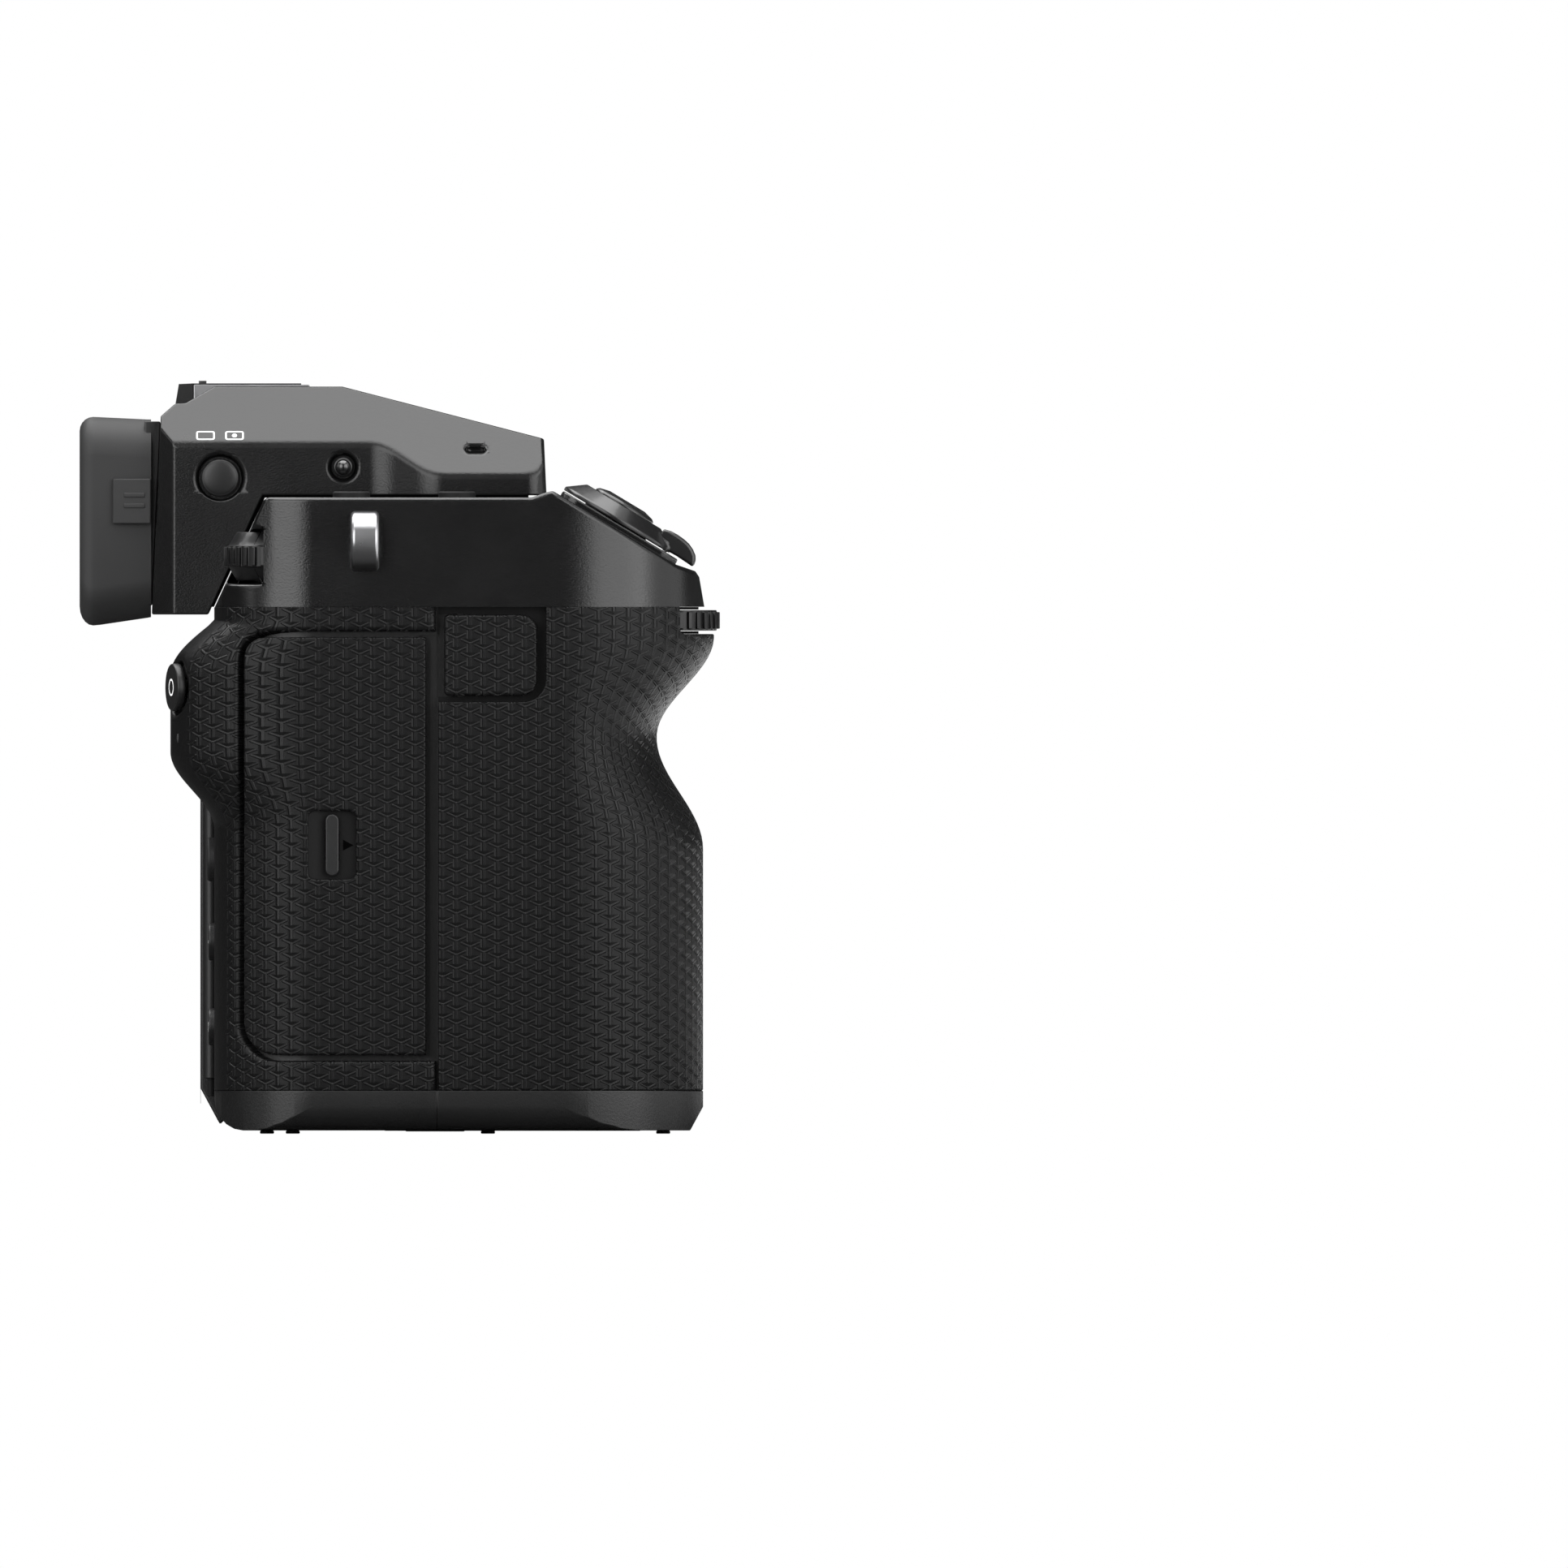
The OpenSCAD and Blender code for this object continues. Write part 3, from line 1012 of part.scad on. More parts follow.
module eyecup() color("#2a2a2b") moulded() difference() {
    union() {
        hull() {
            eyecup_slab(evf_rear_y + 1.1, evf_z0, evf_top - 5.1, eyecup_w - 1.6, 6);
            eyecup_slab(eyecup_y - 2.2, evf_z0 - 1.3, evf_top - 4.7, eyecup_w, 7);
            eyecup_slab(eyecup_y - 0.4, evf_z0, evf_top - 6.2, eyecup_w - 3, 6);
        }
        box([lens_x - eyecup_w / 2 - 0.5, evf_rear_y + 1.1, eyecup_tab[0]],
            [lens_x + eyecup_w / 2 + 0.5, eyecup_y - 4.2, eyecup_tab[1]]);
    }
    hull() {
        eyecup_slab(evf_rear_y + 0.6, pocket_z - pocket[1] / 2, pocket_z + pocket[1] / 2, pocket[0], 3);
        eyecup_slab(eyecup_y, evf_z0 + 2.4, evf_top - 8.6, eyecup_w - 7, 5);
    }
}

// One station of the eyecup across the optical axis
module eyecup_slab(y, z0, z1, w, r) translate([lens_x, 0, mix(z0, z1, 0.5)])
    along_y(y, y + 0.4) polygon(rrect(w, z1 - z0, r, 5));

module eyepiece_lens() color("#8fb0c4") translate([lens_x, 0, pocket_z]) union() {
    along_y(pocket_y + 2.6, pocket_y + 4.4) polygon(rrect(pocket[0] - 0.2, pocket[1] - 0.2, 2.9));
    intersection() {
        along_y(pocket_y + 4, pocket_y + 7) polygon(rrect(pocket[0] - 4, pocket[1] - 4, 3));
        translate([0, pocket_y - 24.2, 0]) sphere(r = 31, $fn = 120);
    }
}

module evf_panel() color("#0d1014") translate([lens_x, 0, pocket_z])
    along_y(pocket_y, pocket_y + 1.4) square([pocket[0] - 6, pocket[1] - 6], center = true);

module view_button() color("#1c1c1e") union() {
    rod_x(evf_x0 - 0.1, evf_x0 + 1.3 - press - 0.1, view_p[0], view_p[1], view_r);
    rod_x(evf_x0 + 0.4, evf_x0 + 5, view_p[0], view_p[1], 1.2);
}

module evf_release() color("#3a3a3c") union() {
    rod_x(evf_x0 - 0.1, evf_x0 + 1.1 - press - 0.1, free_p[0], free_p[1], free_r);
    rod_x(evf_x0 + 0.3, evf_x0 + 4, free_p[0], free_p[1], 0.8);
}

module diopter_dial() color("#1c1c1e")
    translate([lens_x + evf_rear_w / 2, view_p[0], view_p[1] - 1]) union() {
    rotate([0, 90, 0]) translate([0, 0, 0.15]) cylinder(h = 2.4, r = 3.6);
    for (i = [0:17])
        rotate([20 * i, 0, 0]) translate([0.4, 3.3, -0.3]) cube([1.9, 0.7, 0.6]);
    rotate([0, 90, 0]) translate([0, 0, -3.6]) cylinder(h = 4, r = 1.2);
}

module hot_shoe() color("#b5b8bc") difference() {
    box([lens_x - 10.8, shoe_y[0], shoe_z], [lens_x + 10.8, shoe_y[1], evf_top + 0.3]);
    box([lens_x - shoe_w / 2 - 0.2, shoe_y[0] + 1, shoe_z + 0.6],
        [lens_x + shoe_w / 2 + 0.2, shoe_y[1] + 1, shoe_z + 0.6 + shoe_t + 0.3]);
    box([lens_x - neck / 2 - 0.2, shoe_y[0] + 1, shoe_z + 0.6],
        [lens_x + neck / 2 + 0.2, shoe_y[1] + 1, evf_top + 1]);
}

module shoe_cover() color("#1c1c1e") union() {
    box([lens_x - shoe_w / 2, shoe_y[0] + 1.3, shoe_z + 0.7],
        [lens_x + shoe_w / 2, shoe_y[1] + 0.3, shoe_z + 0.7 + shoe_t]);
    box([lens_x - neck / 2, shoe_y[0] + 1.3, shoe_z + 0.8 + shoe_t / 2],
        [lens_x + neck / 2, shoe_y[1] + 0.3, evf_top + 0.5]);
    along_x(lens_x - shoe_w / 2 - 1.9, lens_x + shoe_w / 2 + 1.9) polygon([
        [shoe_y[1] + 0.1, shoe_z + 0.4], [shoe_y[1] + 2.9, shoe_z + 0.4],
        [shoe_y[1] + 2.3, evf_top + 0.4], [shoe_y[1] + 0.1, evf_top + 0.5]]);
    box([lens_x - 5, shoe_y[1] - 2, evf_top + 0.4], [lens_x + 5, shoe_y[1] - 0.8, evf_top + 0.9]);
}

// Which part to draw

front_cover();
rear_cover();
top_cover();
grip_core();
grip_cover();
thumb_cover();
side_cover();
tripod_plate();
feet();
chassis();
mount_ring();
mount_screws();
mount_contacts();
lens_lock_pin();
lens_release();
shutter_unit();
image_sensor();
sensor_glass();
main_board();
battery();
battery_door();
battery_latch();
card_slots();
card_door();
card_latch();
remote_cap();
connectors();
port_door_upper();
port_door_lower();
strap_lugs();
sub_monitor();
shutter_button();
power_lever();
front_dial();
rear_dial();
mode_dial();
mode_lock();
fn_button_rear();
fn_button_front();
deck_button();
q_button();
af_button();
play_button();
menu_button();
display_button();
focus_stick();
lcd_swing();
lcd_arm();
lcd_screen();
evf_rail();
evf_housing();
eyepiece_frame();
eyecup();
eyepiece_lens();
evf_panel();
view_button();
evf_release();
diopter_dial();
hot_shoe();
shoe_cover();
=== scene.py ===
"""Looks of a medium format digital camera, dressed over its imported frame.

Meshes are modelled in millimetres and brought to metres when a piece is finished.
X runs across the body with the hand grip at -X, the lens looks along -Y and Z is up.
"""
import json
import logging
import math
from dataclasses import dataclass
from enum import Enum
from typing import Callable, Iterable, Optional, Sequence

import bmesh
import bpy
from mathutils import Matrix, Vector

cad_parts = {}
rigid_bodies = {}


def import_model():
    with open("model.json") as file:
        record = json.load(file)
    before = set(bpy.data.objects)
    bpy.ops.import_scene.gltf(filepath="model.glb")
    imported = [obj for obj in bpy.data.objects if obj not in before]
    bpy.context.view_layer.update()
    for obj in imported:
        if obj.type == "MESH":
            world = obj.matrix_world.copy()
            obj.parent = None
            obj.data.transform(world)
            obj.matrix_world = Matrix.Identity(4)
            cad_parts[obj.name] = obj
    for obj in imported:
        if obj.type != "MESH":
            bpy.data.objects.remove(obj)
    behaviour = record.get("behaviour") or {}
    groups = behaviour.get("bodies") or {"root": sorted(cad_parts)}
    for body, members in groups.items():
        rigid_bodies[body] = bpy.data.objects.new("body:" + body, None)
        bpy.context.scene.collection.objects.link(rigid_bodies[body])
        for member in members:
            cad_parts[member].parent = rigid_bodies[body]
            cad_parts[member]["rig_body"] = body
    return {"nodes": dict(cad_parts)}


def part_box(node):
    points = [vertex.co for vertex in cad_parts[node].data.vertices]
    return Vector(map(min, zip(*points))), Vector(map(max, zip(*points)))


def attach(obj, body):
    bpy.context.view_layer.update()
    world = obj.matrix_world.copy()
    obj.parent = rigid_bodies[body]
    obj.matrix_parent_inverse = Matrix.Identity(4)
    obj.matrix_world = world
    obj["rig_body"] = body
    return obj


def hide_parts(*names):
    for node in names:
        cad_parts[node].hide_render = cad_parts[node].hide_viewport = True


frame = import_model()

LOG = logging.getLogger("camera")
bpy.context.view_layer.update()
MM = 0.001
WELD = 0.002
FLAT = math.radians(0.4)
CREASE = math.radians(38)
QUARTER = math.pi / 2
RIGHT, BACK, UP = Vector((1, 0, 0)), Vector((0, 1, 0)), Vector((0, 0, 1))

Colour = tuple[float, float, float]
Place = tuple[float, float]
Corner = tuple[float, float, float]
Test = Callable[[Vector], bool]
Wrap = Callable[[float, float], Vector]
Mesh = bmesh.types.BMesh
Socket = bpy.types.NodeSocket


class Side(Enum):
    """The two ends of the body along X."""

    GRIP = -1
    PORTS = 1


class Wiring:
    """Adds and joins nodes in the tree of a material, a world or a group."""

    def __init__(self, tree: bpy.types.NodeTree, given: object = None, result: object = None) -> None:
        """Keeps the tree, a group's inputs and the sockets of a group's result or of a shader."""
        self.tree, self.given, self.result = tree, given, result

    def add(self, kind: str, inputs: Optional[dict] = None, **settings: object) -> bpy.types.Node:
        """Adds a node.

        Args:
            kind: The node's type name, without its prefix.
            inputs: Socket name or number to a value or to another node's socket.
            settings: Properties of the node.

        Returns:
            The new node.
        """
        node = self.tree.nodes.new("ShaderNode" + kind)
        for name, value in settings.items():
            setattr(node, name, value)
        for name, value in (inputs or {}).items():
            self.feed(node.inputs[name], value)
        return node

    def feed(self, socket: Socket, value: object) -> None:
        """Links a socket, or sets its value.

        Args:
            socket: The input to feed.
            value: Another node's output, or a plain value.
        """
        if isinstance(value, Socket):
            self.tree.links.new(value, socket)
        else:
            socket.default_value = value

    def give(self, name: str, value: object) -> None:
        """Feeds a socket of the group's result or of the shader."""
        self.feed(self.result[name], value)

    def emboss(self, height: object, depth: float) -> None:
        """Raises the surface by a height of about 0 to 1, where 1 stands for a depth in millimetres."""
        bump = self.add("Bump", {"Strength": 1.0, "Distance": depth * MM, "Height": height})
        self.give("Normal", bump.outputs[0])

    def calc(self, operation: str, *values: object) -> Socket:
        """Works out a number."""
        return self.add("Math", dict(enumerate(values)), operation=operation).outputs[0]

    def step(self, value: object, low: float, high: float) -> Socket:
        """Eases a value from 0 at low to 1 at high."""
        inputs = {"Value": value, "From Min": low, "From Max": high}
        return self.add("MapRange", inputs, interpolation_type="SMOOTHSTEP").outputs["Result"]

    def length(self, x: object, y: object) -> Socket:
        """Length of a flat offset."""
        return self.calc("SQRT", self.calc("ADD", self.calc("POWER", x, 2.0), self.calc("POWER", y, 2.0)))

    def scale(self, vector: object, factor: object) -> Socket:
        """Scales a vector or a colour."""
        return self.add("VectorMath", {0: vector, "Scale": factor}, operation="SCALE").outputs[0]

    def split(self, vector: object) -> tuple[Socket, ...]:
        """Parts a vector into X, Y and Z."""
        return tuple(self.add("SeparateXYZ", {"Vector": vector}).outputs)

    def noise(self, place: object, scale: object, detail: float, roughness: float = 0.5) -> Socket:
        """Grey noise at a place."""
        inputs = {"Vector": place, "Scale": scale, "Detail": detail, "Roughness": roughness}
        return self.add("TexNoise", inputs).outputs[0]

    def blend(self, share: object, first: object, second: object) -> Socket:
        """Blends two shaders."""
        return self.add("MixShader", {0: share, 1: first, 2: second}).outputs[0]

    def here(self, kind: str = "Object") -> Socket:
        """The piece's own coordinates, in metres, or its map."""
        return self.add("TexCoord").outputs[kind]

    def shown(self) -> Socket:
        """One for rays that show a surface to the eye, zero for rays that only light it.

        Returns:
            The result's socket.
        """
        rays = self.add("LightPath").outputs
        mirrored = self.calc("MAXIMUM", rays["Is Glossy Ray"], rays["Is Transmission Ray"])
        return self.calc("MAXIMUM", rays["Is Camera Ray"], mirrored)


class SharedEffect:
    """A node group that several finishes use."""

    name = "shared_effect"
    takes: dict[str, str] = {}
    gives: dict[str, str] = {}

    def tree(self) -> bpy.types.NodeTree:
        """Finds the group, and builds it the first time.

        Returns:
            The group's node tree.
        """
        found = bpy.data.node_groups.get(self.name)
        if found:
            return found
        tree = bpy.data.node_groups.new(self.name, "ShaderNodeTree")
        for names, way in ((self.takes, "INPUT"), (self.gives, "OUTPUT")):
            for name, kind in names.items():
                tree.interface.new_socket(name, in_out=way, socket_type="NodeSocket" + kind)
        given, result = (tree.nodes.new("NodeGroup" + end) for end in ("Input", "Output"))
        self.wire(Wiring(tree, given.outputs, result.inputs))
        return tree

    def wire(self, wires: Wiring) -> None:
        """Builds the group's nodes.

        Args:
            wires: The group's wiring.
        """
        raise NotImplementedError

    def place(self, wires: Wiring, **inputs: object) -> object:
        """Puts the group in a tree and gives its outputs."""
        return wires.add("Group", inputs, node_tree=self.tree()).outputs


class CastGrain(SharedEffect):
    """Pebbled grain of sprayed paint and spark-eroded moulds."""

    name = "cast_grain"
    takes = {"Place": "Vector", "Fineness": "Float"}
    gives = {"Height": "Float"}

    def wire(self, wires: Wiring) -> None:
        """Mixes rounded pebbles with a finer noise.

        Args:
            wires: The group's wiring.
        """
        given = wires.given
        place, fine = given["Place"], given["Fineness"]
        pebble = wires.add("TexVoronoi", {"Vector": place, "Scale": fine}, feature="SMOOTH_F1")
        noise = wires.noise(place, wires.calc("MULTIPLY", fine, 1.7), 3.0)
        sunk = wires.calc("MULTIPLY", pebble.outputs["Distance"], -0.8)
        wires.give("Height", wires.calc("ADD", sunk, noise))


class Variation(SharedEffect):
    """Slow drift of colour and gloss that keeps a surface from looking flat."""

    name = "surface_variation"
    takes = {"Place": "Vector", "Colour": "Color", "Roughness": "Float", "Fineness": "Float",
             "Amount": "Float"}
    gives = {"Colour": "Color", "Roughness": "Float"}

    def wire(self, wires: Wiring) -> None:
        """Drives colour and roughness by one noise.

        Args:
            wires: The group's wiring.
        """
        given = wires.given
        noise = wires.noise(given["Place"], given["Fineness"], 5.0, 0.6)
        drift = wires.calc("MULTIPLY", wires.calc("SUBTRACT", noise, 0.5), given["Amount"])
        wires.give("Colour", wires.scale(given["Colour"], wires.calc("ADD", drift, 1.0)))
        wires.give("Roughness", wires.calc("MULTIPLY_ADD", drift, 0.35, given["Roughness"]))


class StarMark(SharedEffect):
    """One three-armed ridge in every second column of a slanted lattice, in millimetres."""

    name = "star_mark"
    takes = {"Across": "Float", "Up": "Float"}
    # ShadedPocket marks the sunk side of each ridge, above its arms and left of its stem; the skin also
    # paints it darker as painted shade.
    gives = {"Ridge": "Float", "ShadedPocket": "Float"}
    column = 2.14
    row = 2.14
    shift = 0.86
    arm = 1.5
    stem = 1.25
    lean = math.radians(25)

    def wire(self, wires: Wiring) -> None:
        """Wraps the place into one cell and measures to its arms and its stem.

        Args:
            wires: The group's wiring.
        """
        given = wires.given
        calc, step = wires.calc, wires.step
        pair = calc("FLOOR", calc("MULTIPLY_ADD", given["Across"], 0.5 / self.column, 0.5))
        signed = calc("MULTIPLY_ADD", pair, -2.0 * self.column, given["Across"])
        across = calc("ABSOLUTE", signed)
        slid = calc("MULTIPLY_ADD", pair, 2.0 * self.shift, given["Up"])
        up = calc("WRAP", slid, 0.38 * self.row, -0.62 * self.row)
        below = calc("MAXIMUM", calc("MAXIMUM", up, calc("SUBTRACT", -self.stem, up)), 0.0)
        stem = wires.length(across, below)
        out, rise = math.cos(self.lean), math.sin(self.lean)
        run = calc("MULTIPLY_ADD", across, out, calc("MULTIPLY", up, rise))
        held = calc("MINIMUM", calc("MAXIMUM", run, 0.0), self.arm)
        branch = wires.length(calc("MULTIPLY_ADD", held, -out, across), calc("MULTIPLY_ADD", held, -rise, up))
        offset = calc("SUBTRACT", calc("MULTIPLY", up, out), calc("MULTIPLY", across, rise))
        # painted shade above the arms, also a dip in the bump
        shade = calc("MULTIPLY", step(branch, 0.75, 0.12), step(offset, 0.02, 0.16))
        # painted shade on the left of each stem, also a dip in the bump
        stem_shade = calc("MULTIPLY", step(stem, 0.6, 0.2), step(signed, 0.0, -0.16))
        wires.give("Ridge", calc("MAXIMUM", step(stem, 0.32, 0.14), step(branch, 0.2, 0.06)))
        wires.give("ShadedPocket", calc("MAXIMUM", shade, stem_shade))


class RidgePattern(SharedEffect):
    """Interlocked three-armed ridges of a moulded grip covering."""

    name = "ridge_pattern"
    takes = {"Sheet": "Vector", "Start": "Float"}
    # Gain scales the skin's colour: painted highlight on the ridge crests, painted shade in the pockets.
    gives = {"Height": "Float", "Gain": "Float"}

    def wire(self, wires: Wiring) -> None:
        """Joins two lattices of stars, set one column apart.

        Args:
            wires: The group's wiring.
        """
        given = wires.given
        calc = wires.calc
        across, up, _ = wires.split(given["Sheet"])
        mark = StarMark()
        first = mark.place(wires, Across=across, Up=up)
        second = mark.place(wires, Across=calc("SUBTRACT", across, mark.column),
                            Up=calc("ADD", up, mark.shift))
        begun = wires.step(calc("SUBTRACT", across, given["Start"]), 0.0, 2.0)
        ridge, shaded_pocket = (calc("MULTIPLY", calc("MAXIMUM", first[name], second[name]), begun)
                         for name in ("Ridge", "ShadedPocket"))
        low = calc("MULTIPLY", shaded_pocket, calc("SUBTRACT", 1.0, ridge))
        wires.give("Height", calc("MULTIPLY_ADD", low, -0.55, ridge))
        # painted highlight: ridges up to 1.9 times as light; painted shade: pockets down to half
        wires.give("Gain", calc("MULTIPLY_ADD", low, -0.5, calc("MULTIPLY_ADD", ridge, 0.9, 1.0)))


def principled(name: str, colour: Colour, roughness: float, specular: float = 0.5) -> tuple:
    """Starts a material.

    Args:
        name: The material's name.
        colour: Its base colour.
        roughness: Its roughness.
        specular: Its specular level.

    Returns:
        The material and its wiring.
    """
    material = bpy.data.materials.new(name)
    material.use_nodes = True
    tree = material.node_tree
    wires = Wiring(tree, result=tree.nodes["Principled BSDF"].inputs)
    wires.give("Specular IOR Level", specular)
    wires.give("Base Color", (*colour, 1.0))
    wires.give("Roughness", roughness)
    return material, wires


@dataclass(frozen=True)
class Finish:
    """A surface finish, made as one material."""

    name: str
    colour: Colour
    roughness: float = 0.5
    slot: str = "control_black"
    specular: float = 0.5
    drift: float = 0.25
    drift_size: float = 9.0

    def material(self) -> bpy.types.Material:
        """Finds the finish's material, and builds it the first time.

        Returns:
            The material.
        """
        found = bpy.data.materials.get(self.name)
        if found:
            return found
        material, wires = principled(self.name, self.colour, self.roughness, self.specular)
        self.paint(wires)
        return material

    def vary(self, wires: Wiring, colour: object = None, roughness: object = None) -> None:
        """Lets colour and gloss drift over the surface.

        Args:
            wires: The material's wiring.
            colour: Socket of the colour, if it isn't the finish's own.
            roughness: Socket of the roughness, if it isn't the finish's own.
        """
        result = Variation().place(
            wires, Place=wires.here(), Colour=(*self.colour, 1.0) if colour is None else colour,
            Roughness=self.roughness if roughness is None else roughness,
            Fineness=1.0 / (self.drift_size * MM), Amount=self.drift)
        wires.give("Base Color", result["Colour"])
        wires.give("Roughness", result["Roughness"])

    def grained(self, wires: Wiring, size: float) -> Socket:
        """Height of a grain of some size, in millimetres."""
        return CastGrain().place(wires, Place=wires.here(), Fineness=1.0 / (size * MM))["Height"]

    def paint(self, wires: Wiring) -> None:
        """Wires the finish's own nodes."""
        self.vary(wires)


@dataclass(frozen=True)
class GrainedPaint(Finish):
    """Fine-grained black paint on cast metal, or a fine moulded texture."""

    grain: float = 0.3
    depth: float = 0.02

    def paint(self, wires: Wiring) -> None:
        """Adds the grain to the drifting colour."""
        self.vary(wires)
        wires.emboss(self.grained(wires, self.grain), self.depth)


@dataclass(frozen=True)
class RidgedSkin(Finish):
    """Grip covering with moulded three-armed ridges that follow the sheet."""

    depth: float = 0.22
    start: float = 25.0
    sheen: float = 0.12

    def paint(self, wires: Wiring) -> None:
        """Reads the sheet's own map for the ridges and adds a fine grain.

        Args:
            wires: The material's wiring.
        """
        sheet = wires.scale(wires.here("UV"), 1.0 / MM)
        pattern = RidgePattern().place(wires, Sheet=sheet, Start=self.start)
        ridge = pattern["Height"]
        height = wires.calc("MULTIPLY_ADD", self.grained(wires, 0.16), 0.06, ridge)
        wires.emboss(height, self.depth)
        worn = wires.calc("MULTIPLY_ADD", ridge, -self.sheen, self.roughness)
        # the colour carries the pattern's painted highlight on the ridges and painted shade in the pockets
        self.vary(wires, wires.scale(self.colour, pattern["Gain"]), worn)


@dataclass(frozen=True)
class Metal(Finish):
    """Bare or plated metal with fine tool marks."""

    mark: float = 0.2
    stretch: Colour = (1.0, 1.0, 1.0)
    depth: float = 0.002

    def paint(self, wires: Wiring) -> None:
        """Makes the surface metallic and draws its marks along one way.

        Args:
            wires: The material's wiring.
        """
        wires.give("Metallic", 1.0)
        self.vary(wires)
        mapped = wires.add("Mapping", {"Vector": wires.here(), "Scale": self.stretch})
        marks = wires.noise(mapped.outputs[0], 1.0 / (self.mark * MM), 2.0)
        wires.emboss(marks, self.depth)


@dataclass(frozen=True)
class TurnedMetal(Finish):
    """Metal turned on a lathe, with rings round one axis along Y."""

    centre: Place = (0.0, 0.0)
    pitch: float = 0.25

    def paint(self, wires: Wiring) -> None:
        """Draws the rings by their distance from the axis.

        Args:
            wires: The material's wiring.
        """
        wires.give("Metallic", 1.0)
        self.vary(wires)
        x, _, z = wires.split(wires.here())
        offset = (wires.calc("SUBTRACT", place, middle * MM) for place, middle in zip((x, z), self.centre))
        turns = wires.calc("MULTIPLY", wires.length(*offset), 2.0 * math.pi / (self.pitch * MM))
        wires.emboss(wires.calc("SINE", turns), 0.003)


@dataclass(frozen=True)
class ScreenGlass(Finish):
    """Dark display behind a bonded cover glass."""

    coat: float = 1.0
    coat_roughness: float = 0.03

    def paint(self, wires: Wiring) -> None:
        """Coats the dark panel and lets its tone drift.

        Args:
            wires: The material's wiring.
        """
        wires.give("Coat Weight", self.coat)
        wires.give("Coat Roughness", self.coat_roughness)
        self.vary(wires)


@dataclass(frozen=True)
class GlossPlastic(ScreenGlass):
    """Polished black plastic or lacquer with a clear coat."""

    coat: float = 0.6
    coat_roughness: float = 0.12

    def paint(self, wires: Wiring) -> None:
        """Adds a faint ripple of the moulding."""
        ScreenGlass.paint(self, wires)
        wires.emboss(wires.noise(wires.here(), 350.0, 1.0), 0.004)


@dataclass(frozen=True)
class Glass(Finish):
    """Clear glass with a coating that tints its reflection."""

    tint: float = 0.9

    def paint(self, wires: Wiring) -> None:
        """Lets light through, with faint marks of wiping.

        Args:
            wires: The material's wiring.
        """
        wires.give("Transmission Weight", self.tint)
        wires.give("IOR", 1.5)
        self.vary(wires)


@dataclass(frozen=True)
class BoardFinish(Finish):
    """Solder mask over copper traces."""

    trace: Colour = (0.03, 0.16, 0.07)

    def paint(self, wires: Wiring) -> None:
        """Draws traces by a brick pattern.

        Args:
            wires: The material's wiring.
        """
        mask = (*self.colour, 1.0)
        brick = wires.add("TexBrick", {"Vector": wires.here(), "Scale": 260.0, "Mortar Size": 0.03,
                                       "Color1": mask, "Color2": mask, "Mortar": (*self.trace, 1.0)})
        wires.give("Base Color", brick.outputs["Color"])
        wires.emboss(brick.outputs["Fac"], 0.03)


PAINT = GrainedPaint("cast_paint", (0.0046, 0.0046, 0.0047), 0.37, "body_paint", grain=0.34, depth=0.015)
TOP_PAINT = GrainedPaint("deck_paint", (0.0026, 0.0026, 0.0027), 0.22, "top_paint", 0.62, depth=0.016)
EVF_PAINT = GrainedPaint("evf_paint", (0.0045, 0.0045, 0.0046), 0.26, "evf_plastic", depth=0.02)
SKIN = RidgedSkin("grip_skin", (0.0043, 0.0043, 0.0044), 0.36, "grip_rubber", 0.2)
PORT_SKIN = RidgedSkin("port_skin", (0.0043, 0.0043, 0.0044), 0.36, "grip_rubber", 0.2, start=-3.0)
PLAIN_RUBBER = GrainedPaint("plain_rubber", (0.008, 0.008, 0.0082), 0.55, "grip_rubber", grain=0.22,
                            depth=0.012)
SOFT_RUBBER = GrainedPaint("eyecup_rubber", (0.017, 0.017, 0.0173), 0.6, "smooth_rubber", grain=0.2,
                           depth=0.006)
CORE = GrainedPaint("moulded_core", (0.012, 0.012, 0.0123), 0.55, "core_plastic", depth=0.01)
WELL = GrainedPaint("well_black", (0.0035, 0.0035, 0.0036), 0.7, "core_plastic", 0.2, depth=0.008)
LATCH_FLOOR = GrainedPaint("latch_floor", (0.004, 0.004, 0.0041), 0.6, "core_plastic", 0.17, depth=0.01)
# near black and barely reflective: painted shade that makes a flat print read as a sunk pit
PIT_SHADE = GrainedPaint("pit_shade_black", (0.0008, 0.0008, 0.0008), 0.9, "core_plastic", 0.02, depth=0.002)
SATIN = GrainedPaint("satin_plastic", (0.0075, 0.0075, 0.0077), 0.36, grain=0.18, depth=0.005)
DECK_BUTTON = GrainedPaint("deck_button_black", (0.005, 0.005, 0.0052), 0.6, specular=0.25, grain=0.18,
                           depth=0.004)
GREY_PLASTIC = GrainedPaint("light_plastic", (0.42, 0.42, 0.43), 0.5, grain=0.25, depth=0.008)
CAST = GrainedPaint("cast_alloy", (0.2, 0.2, 0.21), 0.5, "die_cast", grain=0.5, depth=0.03)
CELL = GrainedPaint("cell_case", (0.02, 0.02, 0.022), 0.5, "cell", depth=0.01)
INDEX_RED = GrainedPaint("index_red", (0.5, 0.03, 0.015), 0.4, "body_paint", drift=0.1, grain=0.2,
                         depth=0.004)
INK = GrainedPaint("white_ink", (0.72, 0.72, 0.72), 0.5, "body_paint", drift=0.08, grain=0.2, depth=0.004)
GLOSS = GlossPlastic("gloss_black", (0.006, 0.006, 0.0062), 0.3, coat=0.35)
BALL = GlossPlastic("ball_black", (0.006, 0.006, 0.0062), 0.2, coat=1.0)
DIAL_METAL = GlossPlastic("dial_black", (0.005, 0.005, 0.0052), 0.34, "dial_metal", 0.35, coat=0.1)
CHROME = Metal("polished_chrome", (0.42, 0.42, 0.43), 0.28, "chrome", drift=0.08, depth=0.001)
